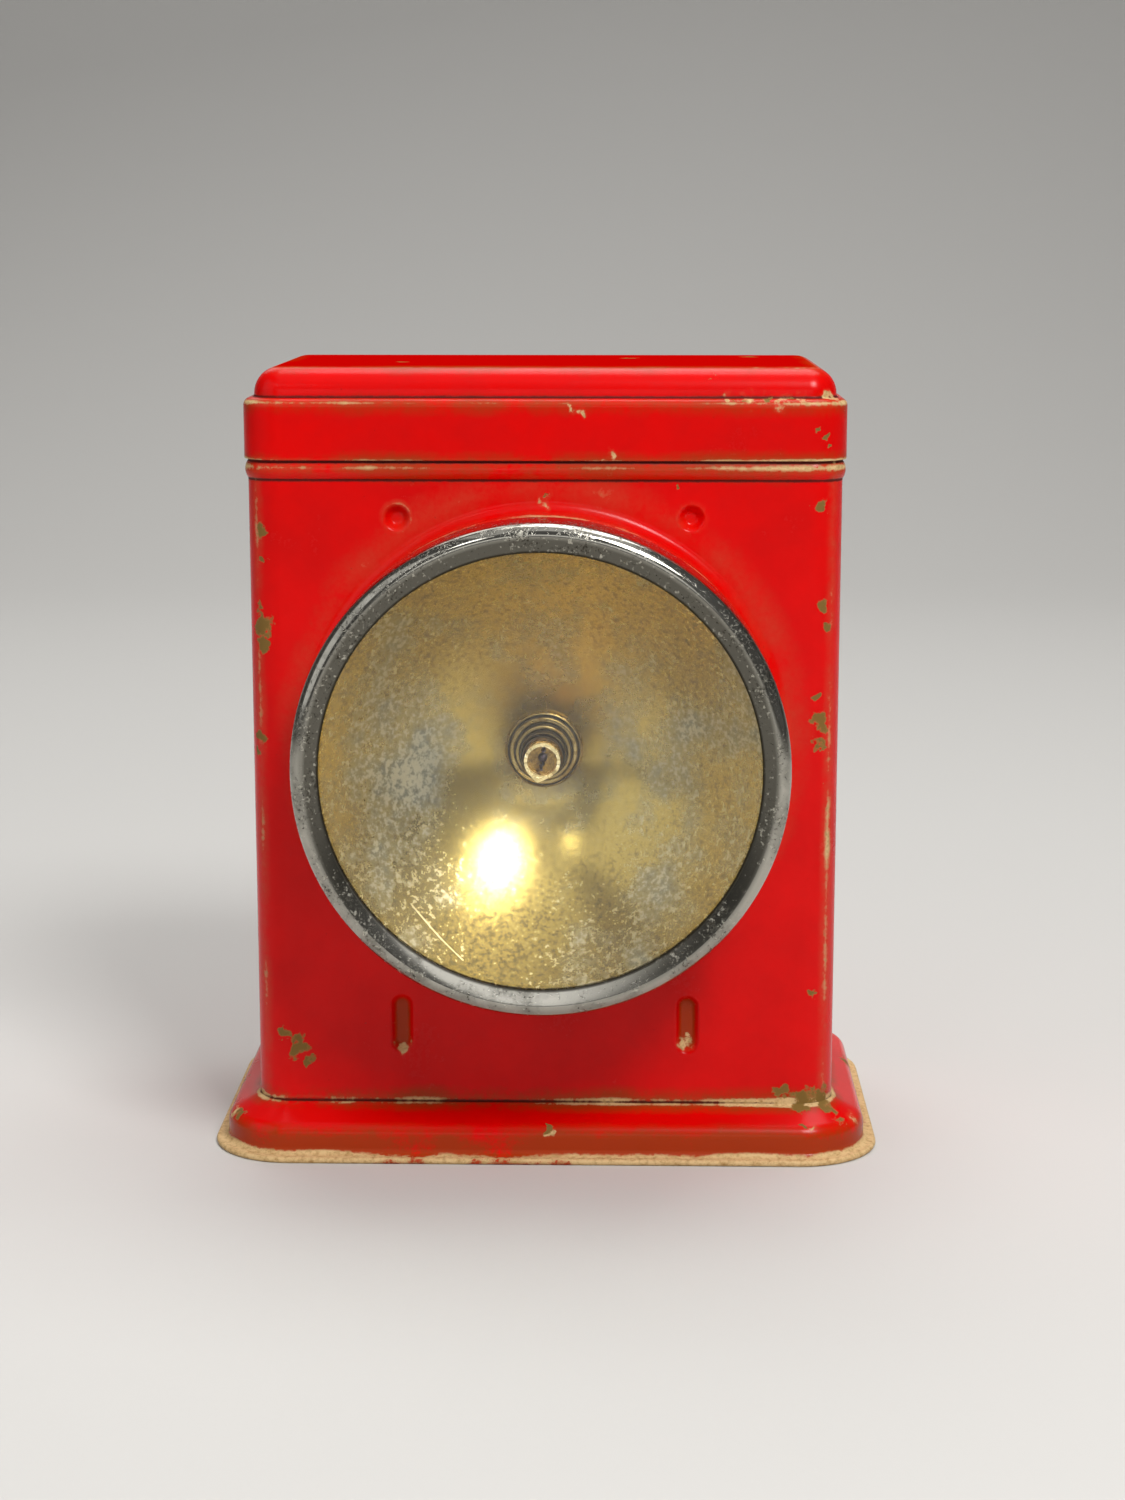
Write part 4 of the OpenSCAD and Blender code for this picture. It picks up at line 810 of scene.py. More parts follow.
def matt_paper(name, colour):
    """Seamless paper of the floor and backdrop."""
    # A pale even ground that takes soft shadows and has no shine
    material, tree, place = new_finish(name)
    grain = put(tree, "TexNoise", {"Vector": place, "Scale": 1 / (2 * MM), "Detail": 3})
    rough = put(tree, "MapRange", {0: grain, 3: 0.75, 4: 0.9})
    shader = put(tree, "BsdfPrincipled", {"Base Color": colour, "Roughness": rough})
    put(tree, "OutputMaterial", {"Surface": shader})
    return material


def lay_floor(colour):
    """A pale floor that sweeps up into a backdrop behind the lantern, in metres."""
    reach = 12
    rear = 2.2
    backdrop_h = 4
    sweep_r = 1.2
    sweep_steps = 24
    bpy.ops.object.select_all(action="DESELECT")
    bpy.ops.mesh.primitive_plane_add(size=2 * reach, location=(0, 0, 0))
    floor = bpy.context.object
    floor.name = "floor"

    def at_rear(edge):
        return all(floor.data.vertices[i].co.y > 0 for i in edge.vertices)

    def in_crease(edge):
        ends = [floor.data.vertices[i].co for i in edge.vertices]
        return all(abs(end.y - rear) < CLOSE and end.z < CLOSE for end in ends)

    pick(floor, "edges", at_rear)
    bpy.ops.transform.translate(value=(0, rear - reach, 0))
    push((0, 0, backdrop_h))
    pick(floor, "edges", in_crease)
    bpy.ops.mesh.bevel(offset=sweep_r, segments=sweep_steps)
    merge()
    bpy.ops.object.shade_smooth()
    floor.data.materials.append(matt_paper("matt_paper_sweep", colour))


def hang_lamps():
    """Soft lamps round the lantern, all turned towards its middle."""
    # The main lamp stands to the right, in front and above, where the bright spot in the bowl puts it
    middle = Vector((0, 0, 0.1))
    # Name, place, width and height in metres, and watts
    lamps = (
        ("main_lamp", (0.42, -0.8, 0.98), (0.36, 0.36), 12),
        ("small_lamp", (-0.32, -0.89, 0.84), (0.14, 0.14), 0.4),
        ("front_lamp", (0, -2.0, 0.62), (1.4, 0.5), 2.6),
        ("overhead_lamp", (0.2, 0.45, 1.7), (1.0, 0.9), 13),
        ("ceiling_lamp", (0.1, -0.4, 1.8), (1.6, 1.6), 4.5),
        ("left_lamp", (-1.5, -0.9, 0.9), (1.6, 1.6), 6),
        ("rear_lamp", (-0.3, 1.0, 1.2), (1.0, 1.0), 5),
    )
    for name, spot, size, power in lamps:
        bpy.ops.object.light_add(type="AREA", location=spot)
        lamp = bpy.context.object
        lamp.name = name
        lamp.data.shape = "RECTANGLE"
        lamp.data.size, lamp.data.size_y = size
        lamp.data.energy = power
        lamp.rotation_euler = (middle - Vector(spot)).to_track_quat("-Z", "Y").to_euler()


class LANTERN_OT_stage(bpy.types.Operator):
    """Pale floor and backdrop, soft lamps and the camera"""

    bl_idname = "lantern.stage"
    bl_label = "Stage"

    def execute(self, context):
        scene = context.scene
        scene.view_settings.view_transform = "Standard"
        lay_floor(scene.lantern_colours.floor)
        hang_lamps()

        room_grey = 0.12
        world = bpy.data.worlds.new("soft_room")
        world.use_nodes = True
        background = world.node_tree.nodes["Background"]
        background.inputs["Color"].default_value = (room_grey, room_grey, room_grey, 1)
        background.inputs["Strength"].default_value = 1
        scene.world = world

        # The camera stands where a fit to the edges in the photograph puts it
        tilt_down = 10.71
        turn_left = 1.285
        bpy.ops.object.camera_add(location=(18.7 * MM, -677.5 * MM, 220.4 * MM))
        camera = context.object
        camera.rotation_euler = (math.radians(90 - tilt_down), 0, math.radians(turn_left))
        camera.data.lens = 66
        camera.data.sensor_width = 36
        scene.camera = camera
        return {"FINISHED"}


def case_shell(sizes, at):
    """The case's wall with its bead and its folded rim, taken round the plan."""
    sheet = sizes.sheet
    centre = sizes.bead_out - at.bead_r
    swing = math.degrees(math.asin(sizes.bead_h / 2 / at.bead_r))
    swing_in = math.degrees(math.acos((at.bead_r - sizes.bead_out - sheet) / (at.bead_r - sheet)))
    profile = [
        (0, at.flange_z),
        *arc(centre, at.bead_z, at.bead_r, -swing, swing),
        *arc(-sheet, at.rim_z - sheet, sheet, 0, 180),
        (-2 * sheet, at.rim_z - sizes.hem_h),
        (-sheet, at.rim_z - sizes.hem_h),
        *arc(centre, at.bead_z, at.bead_r - sheet, swing_in, -swing_in),
        (-sheet, at.flange_z),
    ]
    return sweep_round("enamelled_case", profile, *at.wall)


def case_collar(sizes, at):
    """The collar drawn forward out of the front, with a fillet and an edge that is turned in."""
    sheet = sizes.sheet
    edge_r = sizes.collar_edge_r
    lip_r = at.collar_in - sizes.collar_lip
    profile = [
        *arc(at.fillet_end, sizes.fillet_r, sizes.fillet_r, 270, 180),
        *arc(at.collar_r - edge_r, at.collar_s - edge_r, edge_r, 0, 90, SMALL_ARC_STEPS),
        (lip_r, at.collar_s),
        (lip_r, at.collar_s - sheet),
        (at.collar_in, at.collar_s - sheet),
        *arc(at.fillet_end, sizes.fillet_r, sizes.fillet_r + sheet, 180, 270),
    ]
    return lathe("collar", profile, at.front, 0, at.lamp_z, closed=False)


def stop_section(width, flat, depth):
    """Soft section of a pressed stop from the face to its middle."""
    shares = [i / ARC_STEPS for i in range(ARC_STEPS + 1)]
    rises = [3 * t * t - 2 * t * t * t for t in shares]
    wall = [((width - (width - flat) * t) / 2, -depth * rise) for t, rise in zip(shares, rises)]
    return [*wall, (0, -depth)]


def case_stops(sizes, at):
    """Both faces of the round and the slot stops that are pressed into the front."""
    round_section = stop_section(sizes.dimple_d, sizes.dimple_flat, sizes.press_depth)
    slot_section = stop_section(sizes.slot_w, sizes.slot_flat, sizes.press_depth)
    round_stop = press("round_stop", round_section, at.front, -at.stop_x, at.dimple_z, 0)
    slot_stop = press("slot_stop", slot_section, at.front, -at.stop_x, sizes.slot_z, at.slot_run)
    # The inner face lies a sheet behind the outer one, and both come again on the other side
    across = 2 * at.stop_x
    offsets = ((0, sizes.sheet, 0), (across, 0, 0), (across, sizes.sheet, 0))
    return repeated(round_stop, offsets) + repeated(slot_stop, offsets)


def rectangle(half_w, bottom, top, y):
    """Corners of an upright rectangle that faces along Y."""
    return [(-half_w, y, bottom), (half_w, y, bottom), (half_w, y, top), (-half_w, y, top)]


def switch_slot(sizes, at):
    """The cut edges of the slot that the switch's neck slides in."""
    half_w = sizes.switch_neck_w / 2 + sizes.slide_gap
    bottom = at.switch_z - sizes.switch_neck_h / 2 - sizes.slide_gap
    top = at.switch_z + sizes.switch_neck_h / 2 + sizes.switch_travel + sizes.slide_gap
    slot = trace("switch_slot", rectangle(half_w, bottom, top, at.half_d))
    push((0, -sizes.sheet, 0))
    merge()
    return slot


def case_enamel(sizes, at, colours):
    """The case's enamel, with its chips and rubs where the photograph shows them and the like elsewhere."""
    # Worn places in millimetres: x, y, z and radius
    chips = (
        (-66, -35.5, 151, 2.3), (-66.4, -35.5, 145, 1.2), (-66.4, -35.5, 129, 3.2), (-65.3, -35.8, 124, 2.3),
        (-67, -35, 133, 1.2), (-67.7, -35, 102, 1.9), (-68, -34, 97, 1.4), (-63, -37, 29.5, 2.0),
        (-60, -37.5, 26, 2.3), (-57, -37.5, 22.8, 1.5), (64.4, -36.5, 157, 2.0), (64.8, -36.5, 133.5, 1.8),
        (66.4, -35.8, 128, 1.2), (64, -36.8, 113.5, 1.6), (65.2, -36.5, 106.5, 2.6),
        (64.9, -36.5, 100.5, 1.6), (66, -35.8, 92, 1.1), (64.5, -36.5, 39, 1.4), (57.5, -37.5, 15, 2.2),
        (62, -37.2, 13.5, 3.0), (66.9, -35.5, 13.2, 3.2), (0.8, -37.5, 159.6, 1.2), (70, 8, 60, 2.2),
        (70, -14, 118, 1.6), (31.5, -37.5, 161.3, 0.9), (-70, 12, 84, 2.0), (-70, -9, 40, 1.5),
        (66, 36, 70, 1.9), (-66.5, 35.5, 112, 2.2), (30, 37.5, 40, 1.6), (-38, 37.5, 92, 1.4),
    )
    rubs = (
        (34.4, -36, 26.6, 1.5), (34.4, -35.8, 29.2, 0.9), (-34.4, -36, 26.6, 1.3), (0.8, -38, 159, 1.6),
    )
    bead_top = (sizes.bead_out * 0.9, at.bead_z + sizes.bead_h * 0.2, 1.0 * MM, 0.62)
    seam = (0, at.plinth_top + 0.6 * MM, 0.8 * MM, 0.85)
    # The creases are darkened as painted shade
    creases = [
        (0, at.bead_z - sizes.bead_h / 2, 0.45 * MM),
        (0, at.bead_z + sizes.bead_h / 2, 0.5 * MM),
        (0, at.plinth_top, 0.6 * MM),
    ]
    # The collar's rings are worn and also a painted sheen; the fillet's ring sits high, so the top is paler
    collar_ring = (0, at.front - 0.5 * at.bezel_rear, at.lamp_z, at.collar_r, 5 * MM, 0.66)
    fillet_ring = (0, at.front, at.lamp_z + 3 * MM, at.fillet_end, 4 * MM, 0.34)
    rings = [collar_ring, fillet_ring]
    strips = []
    for side, film in zip(SIDES, (1.3, 1.6)):
        x = side * at.stop_x
        rings.append((x, at.front, at.dimple_z, sizes.dimple_d / 2, 0.8 * MM, 0.45))
        foot = Vector((x, at.front + sizes.press_depth, sizes.slot_z - at.slot_run / 2))
        strips.append((foot, foot + Vector((0, 0, at.slot_run)), 2.6 * MM, film))
    return red_enamel(
        "red_enamel_case", colours, at.wall, [bead_top, seam], creases, spots(rubs), spots(chips),
        rings=rings, strips=strips, upright=0.5,
    )


class LANTERN_OT_case(bpy.types.Operator):
    """Drawn case with its bead, collar, pressed stops and switch slot"""

    bl_idname = "lantern.case"
    bl_label = "Case"

    def execute(self, context):
        sizes = context.scene.lantern_sizes
        at = places(sizes)
        case = case_shell(sizes, at)
        flats = (at.front, at.front + sizes.sheet, at.half_d, at.half_d - sizes.sheet)
        for level in flats:
            open_flat(case, level, (at.bead_z - at.flange_z) / 2)
        case = join([case, case_collar(sizes, at), *case_stops(sizes, at), switch_slot(sizes, at)])
        for level in flats:
            fill_flat(case, "y", level)
        enamel = case_enamel(sizes, at, context.scene.lantern_colours)
        dress(case, enamel, "housing", "red_enamel", "case")
        return {"FINISHED"}


def plinth_section(sizes, at, top, foot, lip_out):
    """Section of the plinth: seam, sloped top, shoulder, cove, hemmed lip and the underside back up."""
    sheet = sizes.sheet
    lip_r = sizes.lip_t / 2
    slope_x = sizes.shoulder_out - sizes.shoulder_r
    away_x = sizes.fit_gap - slope_x
    away_z = top - sizes.shoulder_z
    lean = math.atan2(away_z, away_x) - math.acos(sizes.shoulder_r / math.hypot(away_x, away_z))
    turn = math.degrees(lean)
    cove_x = sizes.shoulder_out + sizes.cove_r
    cove_z = sizes.lip_t + sizes.cove_r
    under_r = sizes.shoulder_r - sheet
    under_x = sizes.fit_gap + sheet
    slope_end_x = slope_x + under_r * math.cos(lean)
    slope_end_z = sizes.shoulder_z + under_r * math.sin(lean)
    under_top = slope_end_z + (slope_end_x - under_x) / math.tan(lean)
    return [
        (sizes.fit_gap, at.flange_z),
        (sizes.fit_gap, top),
        *arc(slope_x, sizes.shoulder_z, sizes.shoulder_r, turn, 0),
        *arc(cove_x, cove_z, sizes.cove_r, 180, 270),
        *arc(lip_out - lip_r, lip_r, lip_r, 90, -90),
        (cove_x, foot),
        *arc(cove_x, cove_z, sizes.cove_r + sheet, 270, 180),
        *arc(slope_x, sizes.shoulder_z, under_r, 0, turn),
        (under_x, under_top),
        (under_x, at.flange_z),
    ]


class LANTERN_OT_plinth(bpy.types.Operator):
    """Pressed plinth with its slope, shoulder, cove and hemmed lip"""

    bl_idname = "lantern.plinth"
    bl_label = "Plinth"

    def execute(self, context):
        sizes = context.scene.lantern_sizes
        at = places(sizes)
        low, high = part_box("plinth")
        lip_out = high.x - at.half_w
        lip_r = sizes.lip_t / 2
        profile = plinth_section(sizes, at, high.z, low.z, lip_out)
        plinth = sweep_round("pressed_plinth", profile, *at.wall)
        # Worn places in millimetres: x, y, z and radius
        chips = (
            (0.3, -44.5, 8, 1.1), (62, -44.3, 9.2, 0.9), (66, -43, 9.8, 0.9), (72, -40, 10.8, 2.2),
            (-75, -36, 8.5, 1.9), (62, -38.5, 12.2, 2.7), (68, -36.5, 12.2, 2.7), (77, 10, 8, 2.0),
            (-77, -8, 8, 1.6), (20, 44.5, 8.2, 2.2),
        )
        rubs = (
            (1, -45, 7.4, 1.0), (64, -44, 8.4, 1.1), (75, -36, 8.5, 1.6), (-76, -34, 8.2, 1.6),
        )
        lip_top = (lip_out - lip_r, sizes.lip_t, 1.6 * MM, 1.9)
        lip_edge = (lip_out, lip_r, 0.9 * MM, 0.85)
        seam = (sizes.fit_gap + 0.4 * MM, high.z - 0.4 * MM, 0.7 * MM, 0.95)
        # The crease at the seam is darkened as painted shade
        crease = (sizes.fit_gap, high.z, 0.4 * MM)
        face = (sizes.shoulder_out, sizes.lip_t + sizes.cove_r, 1.3 * MM, 1.1)
        enamel = red_enamel(
            "red_enamel_plinth", context.scene.lantern_colours, at.wall, [lip_top, lip_edge, seam], [crease],
            spots(rubs), spots(chips), films=[face],
        )
        dress(plinth, enamel, "housing", "red_enamel_plinth", "plinth")
        return {"FINISHED"}


class LANTERN_OT_lid(bpy.types.Operator):
    """Slip-on lid with its ledge and rounded crown"""

    bl_idname = "lantern.lid"
    bl_label = "Lid"

    def execute(self, context):
        sizes = context.scene.lantern_sizes
        at = places(sizes)
        sheet = sizes.lid_sheet
        ledge = sizes.ledge_r
        cove = sizes.ledge_cove_r
        crown_x = -ledge - cove - sizes.crown_r
        crown_z = at.lid_top - sizes.crown_r
        profile = [
            *arc(crown_x, crown_z, sizes.crown_r, 90, 0),
            *arc(-ledge, at.ledge_z + cove, cove, 180, 270, SMALL_ARC_STEPS),
            *arc(-ledge, at.ledge_z - ledge, ledge, 90, 0)[1:],
            *arc(-sheet / 2, at.skirt_z + sheet / 2, sheet / 2, 0, -180, SMALL_ARC_STEPS),
            *arc(-ledge, at.ledge_z - ledge, ledge - sheet, 0, 90),
            *arc(-ledge, at.ledge_z + cove, cove + sheet, 270, 180)[1:],
            *arc(crown_x, crown_z, sizes.crown_r - sheet, 0, 90),
        ]
        lid = sweep_round("pressed_lid", profile, *at.lid_wall, closed=False)
        for level in (at.lid_top, at.lid_top - sheet):
            fill_flat(lid, "z", level)

        # Worn places in millimetres: x, y, z and radius
        chips = (
            (65.1, -38.3, 173.8, 1.1), (63.2, -38.3, 175.6, 0.8), (66.5, -37, 171, 0.9),
            (45, -37.5, 182.1, 1.4), (51, -37.5, 182, 1.6), (57, -37.5, 182, 1.2), (40, -33, 187, 1.2),
            (-60, -34, 185.5, 0.9), (20, 12, 189.1, 2.2), (-35, -8, 189.1, 1.6), (50, 20, 189.1, 1.9),
            (-70.8, 5, 175, 1.8), (70.8, 18, 178, 1.5), (-20, 38.3, 174, 1.9),
        )
        rubs = (
            (6.5, -38.3, 180, 0.8), (7.6, -38.3, 179, 0.9), (8.8, -38.3, 178, 0.8), (15.4, -38.3, 168.6, 1.2),
            (43, -37.6, 182, 1.4), (47, -37.6, 182, 1.6), (51, -37.6, 182, 1.8), (55, -37.6, 182, 1.8),
            (60, -37.4, 182, 1.4), (66, -34, 182, 1.5),
        )
        lower_edge = (0, at.skirt_z, 0.6 * MM, 0.68)
        ledge_edge = (-0.15 * ledge, at.ledge_z - 0.5 * ledge, 0.8 * MM, 0.64)
        top_edge = (crown_x * 0.8, at.lid_top - sizes.crown_r * 0.03, 0.9 * MM, 0.55)
        # The crease under the crown is darkened as painted shade
        crease = (-ledge - cove * 0.7, at.ledge_z + cove * 0.3, 0.5 * MM)
        # Above this height dust dulls the lid's top and its red is darkened as painted shade
        dust_and_shade_z = at.lid_top - 0.5 * MM
        enamel = red_enamel(
            "red_enamel_lid", context.scene.lantern_colours, at.lid_wall, [lower_edge, ledge_edge, top_edge],
            [crease], spots(rubs), spots(chips), dull_z=dust_and_shade_z,
        )
        dress(lid, enamel, "lid", "red_enamel_lid", "lid")
        return {"FINISHED"}


class LANTERN_OT_bezel(bpy.types.Operator):
    """Chromed bezel that slips over the collar"""

    bl_idname = "lantern.bezel"
    bl_label = "Bezel"

    def execute(self, context):
        sizes = context.scene.lantern_sizes
        at = places(sizes)
        sheet = sizes.bezel_sheet
        shoulder_r = at.bezel_out - sizes.bezel_r
        shoulder_s = at.bezel_front - sizes.bezel_r
        inner_s = at.bezel_front - sizes.bezel_dish
        profile = [
            *arc(at.bezel_out - sheet / 2, at.bezel_rear + sheet / 2, sheet / 2, 180, 360, SMALL_ARC_STEPS),
            *arc(shoulder_r, shoulder_s, sizes.bezel_r, 0, 90),
            *arc(sizes.view_r + sheet / 2, inner_s - sheet / 2, sheet / 2, 90, 270, SMALL_ARC_STEPS),
            *arc(shoulder_r, shoulder_s, sizes.bezel_r - sheet, 90, 0),
        ]
        bezel = lathe("chromed_bezel", profile, at.front, 0, at.lamp_z, steps=2 * LATHE_STEPS)
        # The face's painted dark reflection is lifted near the bottom, as a painted brighter reflection
        brighter_reflection_at = math.radians(256)
        brighter_reflection_reach = 21 * MM
        brighter_reflection_x = shoulder_r * math.cos(brighter_reflection_at)
        brighter_reflection_z = at.lamp_z + shoulder_r * math.sin(brighter_reflection_at)
        brighter_reflection = [((brighter_reflection_x, at.front - at.bezel_front, brighter_reflection_z), brighter_reflection_reach, 1)]
        colours = context.scene.lantern_colours
        chrome = pitted_chrome("pitted_chrome", colours, at.lamp_z, sizes.view_r, shoulder_r, brighter_reflection)
        dress(bezel, chrome, "front_ring", "chromed_bezel", "bezel")
        return {"FINISHED"}


class LANTERN_OT_glass(bpy.types.Operator):
    """Flat glass behind the bezel"""

    bl_idname = "lantern.glass"
    bl_label = "Glass"

    def execute(self, context):
        sizes = context.scene.lantern_sizes
        at = places(sizes)
        edge = sizes.edge
        profile = [
            (0, at.glass_front),
            (at.glass_r - edge, at.glass_front),
            (at.glass_r, at.glass_front - edge),
            (at.glass_r, at.glass_rear + edge),
            (at.glass_r - edge, at.glass_rear),
            (0, at.glass_rear),
        ]
        glass = lathe("glass_pane", profile, at.front, 0, at.lamp_z, closed=False)
        dress(glass, clear_glass("clear_glass"), "front_ring", "clear_glass", "glass_lens")
        return {"FINISHED"}


class LANTERN_OT_reflector(bpy.types.Operator):
    """Silvered reflector, a paraboloid with a flange behind the glass"""

    bl_idname = "lantern.reflector"
    bl_label = "Reflector"

    def execute(self, context):
        sizes = context.scene.lantern_sizes
        at = places(sizes)
        sheet = sizes.reflector_sheet
        curve = 4 * sizes.focus
        mouth_r = sizes.view_r + sizes.rim_cover
        apex_s = at.glass_rear - mouth_r ** 2 / curve
        steps = 48
        radii = [sizes.hole_r + (mouth_r - sizes.hole_r) * i / steps for i in range(steps + 1)]
        bowl = [(r, apex_s + r * r / curve) for r in radii]
        back = []
        for r, s in reversed(bowl):
            slope = 2 * r / curve
            lean = math.hypot(slope, 1)
            rear = (r + sheet * slope / lean, s - sheet / lean)
            if rear[1] < at.collar_s - sheet:
                back.append(rear)
        flange = [
            (at.glass_r, at.glass_rear),
            (at.glass_r, at.collar_s),
            (mouth_r + sheet, at.collar_s),
        ]
        reflector = lathe("silvered_reflector", [*bowl, *flange, *back], at.front, 0, at.lamp_z)

        def on_bowl(turn, radius):
            """The place on the bowl at a turn about the axis in degrees and a radius in millimetres."""
            r = radius * MM
            x = r * math.cos(math.radians(turn))
            z = at.lamp_z + r * math.sin(math.radians(turn))
            return x, at.front - apex_s - r * r / curve, z

        cloud_r = 9 * MM
        clouds = [(on_bowl(turn, 27), cloud_r, 1) for turn in (168, 190, 352)]
        scratch = [on_bowl(227, 44.2), on_bowl(233, 44.9), on_bowl(239, 46), on_bowl(248, 48)]
        scratches = list(zip(scratch, scratch[1:]))
        colours = context.scene.lantern_colours
        silver = silvered_brass("silvered_brass", colours, on_bowl(0, 0), clouds, scratches)
        dress(reflector, silver, "housing", "silvered_reflector", "reflector")
        return {"FINISHED"}


class LANTERN_OT_socket(bpy.types.Operator):
    """Stepped socket in the middle of the reflector"""

    bl_idname = "lantern.socket"
    bl_label = "Socket"

    def execute(self, context):
        sizes = context.scene.lantern_sizes
        at = places(sizes)
        low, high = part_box("lamp_socket")
        rear_s = at.front - high.y
        mouth_r = sizes.mouth_r
        edge_r = sizes.socket_edge_r
        groove = sizes.socket_groove
        lip_r = 0.15 * MM
        # Diameter and length of each step in millimetres, from the front
        steps = ((13.2, 2.4), (16.2, 1.3), (18, 1.2))
        end = at.front - low.y
        profile = [(sizes.bore_r, rear_s), *arc(mouth_r - lip_r, end - lip_r, lip_r, 180, 0, SMALL_ARC_STEPS)]
        end -= sizes.mouth_l
        profile.append((mouth_r, end))
        grooves = []
        for diameter, long in steps:
            foot = profile[-1][0]
            grooves.append(foot + groove / 2)
            r = diameter / 2 * MM
            profile += [(foot, end - groove), (foot + groove / 2, end - groove), (foot + groove, end)]
            profile += arc(r - edge_r, end - edge_r, edge_r, 90, 0, SMALL_ARC_STEPS)
            end -= long * MM
            profile.append((r, end))
        profile += [(sizes.shank_r, end), (sizes.shank_r, rear_s)]
        socket = lathe("stepped_socket", profile, at.front, 0, at.lamp_z)
        colours = context.scene.lantern_colours
        # A warm shine, yellow where the nickel has worn off the brass, and black in the grooves as painted
        # shade
        nickel = aged_metal(
            "worn_nickelled_brass", colours.socket, colours.socket_worn, 0.5 * MM, 0.13, at.lamp_z, grooves
        )
        dress(socket, nickel, "housing", "nickelled_socket", "lamp_socket")
        return {"FINISHED"}


class LANTERN_OT_screw_base(bpy.types.Operator):
    """The bulb's rolled screw base, painted dark brown as the shade inside the socket's tube"""

    bl_idname = "lantern.screw_base"
    bl_label = "Screw base"

    def execute(self, context):
        sizes = context.scene.lantern_sizes
        at = places(sizes)
        low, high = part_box("bulb_shell")
        front_s = at.front - low.y
        rear_s = at.front - high.y
        sheet = sizes.base_sheet
        turns = 4
        turn_steps = 10
        line = []
        for i in range(turns * turn_steps + 1):
            dip = sizes.thread_depth * (1 - math.cos(math.tau * i / turn_steps)) / 2
            line.append((high.x - dip, rear_s + sizes.thread_pitch * i / turn_steps))
        inner = [(r - sheet, s) for r, s in line]
        rim = arc(high.x - sheet / 2, front_s - sheet / 2, sheet / 2, 0, 180, SMALL_ARC_STEPS)
        profile = [*line, *rim, *reversed(inner)]
        base = lathe("screw_base", profile, at.front, 0, at.lamp_z, steps=LATHE_STEPS // 2)
        # A dark brown band with little shine, painted dark as the shade inside the socket's tube
        brass = aged_metal("browned_brass", linear("6B5128"), linear("2E2213"), 0.4 * MM, 0.35)
        dress(base, brass, "bulb", "bulb_brass", "bulb_shell")
        return {"FINISHED"}


class LANTERN_OT_broken_neck(bpy.types.Operator):
    """What is left of the bulb's glass, with a ragged edge and one long splinter"""

    bl_idname = "lantern.broken_neck"
    bl_label = "Broken neck"

    def execute(self, context):
        sizes = context.scene.lantern_sizes
        at = places(sizes)
        low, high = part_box("bulb_glass")
        rear_s = at.front - high.y
        tip_s = at.front - low.y
        break_y = at.front - (rear_s + tip_s) / 2
        sides = 96
        shard_count = 14
        splinter_at = math.radians(255)
        splinter_width = math.radians(26)
        # Shares of the whole neck, up to the splinter's tip
        splinter_fall = 0.4
        shard_low = 0.46
        shard_high = 0.68
        roughness = 0.02

        chance = random.Random(11)
        shards = [chance.uniform(shard_low, shard_high) for _ in range(shard_count)]
        heights = []
        for i in range(sides):
            along = i / sides * shard_count
            shard = int(along)
            share = along - shard
            height = shards[shard] * (1 - share) + shards[(shard + 1) % shard_count] * share
            height += chance.uniform(-roughness, roughness)
            off = abs((math.tau * i / sides - splinter_at + math.pi) % math.tau - math.pi)
            height = max(height, 1 - splinter_fall * off / splinter_width)
            heights.append(rear_s + (tip_s - rear_s) * height)

        neck = trace("broken_neck", [(x, high.y, at.lamp_z + z) for x, z in circle(high.x, sides)])
        push((0, rear_s - tip_s, 0))
        merge()
        for vertex in neck.data.vertices:
            if vertex.co.y < break_y:
                turn = math.atan2(vertex.co.z - at.lamp_z, vertex.co.x) % math.tau
                vertex.co.y = at.front - heights[round(turn / math.tau * sides) % sides]
        apply_modifier(neck, "SOLIDIFY", thickness=sizes.bulb_glass_t, offset=-1)
        dress(neck, broken_glass("broken_bulb_glass", break_y), "bulb", "bulb_glass", "bulb_glass")
        return {"FINISHED"}


class LANTERN_OT_filament_stubs(bpy.types.Operator):
    """Two bent stubs of wire that held the filament, and the glass bead between them"""

    bl_idname = "lantern.filament_stubs"
    bl_label = "Filament stubs"

    def execute(self, context):
        sizes = context.scene.lantern_sizes
        at = places(sizes)
        low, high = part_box("bulb_posts")
        foot_s = at.front - high.y
        tip_s = at.front - low.y
        spread = (high.z - low.z) / 2 - sizes.stub_r
        # Sideways and upward shift of each third of a stub
        bends = ((0.1 * MM, 0), (0.35 * MM, -0.25 * spread), (-0.3 * MM, 0.15 * spread))
        reach = (tip_s - foot_s) / len(bends)
        pinch = (0.7, 1, 0.5)
        pieces = []
        for side in SIDES:
            foot = at.lamp_z + side * spread
            ring = [(x, high.y, foot + z) for x, z in circle(sizes.stub_r, SMALL_LATHE_STEPS // 2)]
            pieces.append(trace("filament_posts", ring))
            bpy.ops.mesh.edge_face_add()
            for bend_x, bend_z in bends:
                push((side * bend_x, -reach, side * bend_z))
            bpy.ops.transform.resize(value=pinch)
            merge()
        bead = arc(0, (foot_s + tip_s) / 2, sizes.glass_bead_r, 90, -90)
        pieces.append(lathe("bead", bead, at.front, 0, at.lamp_z, closed=False, steps=SMALL_LATHE_STEPS))
        stubs = join(pieces)
        bpy.ops.object.mode_set(mode="EDIT")
        merge()
        # Nearly black wires with a cold glint
        wire = aged_metal("blackened_wire", linear("6A6070"), linear("2B262C"), 0.3 * MM, 0.35)
        dress(stubs, wire, "bulb", "filament_wire", "bulb_posts")
        return {"FINISHED"}


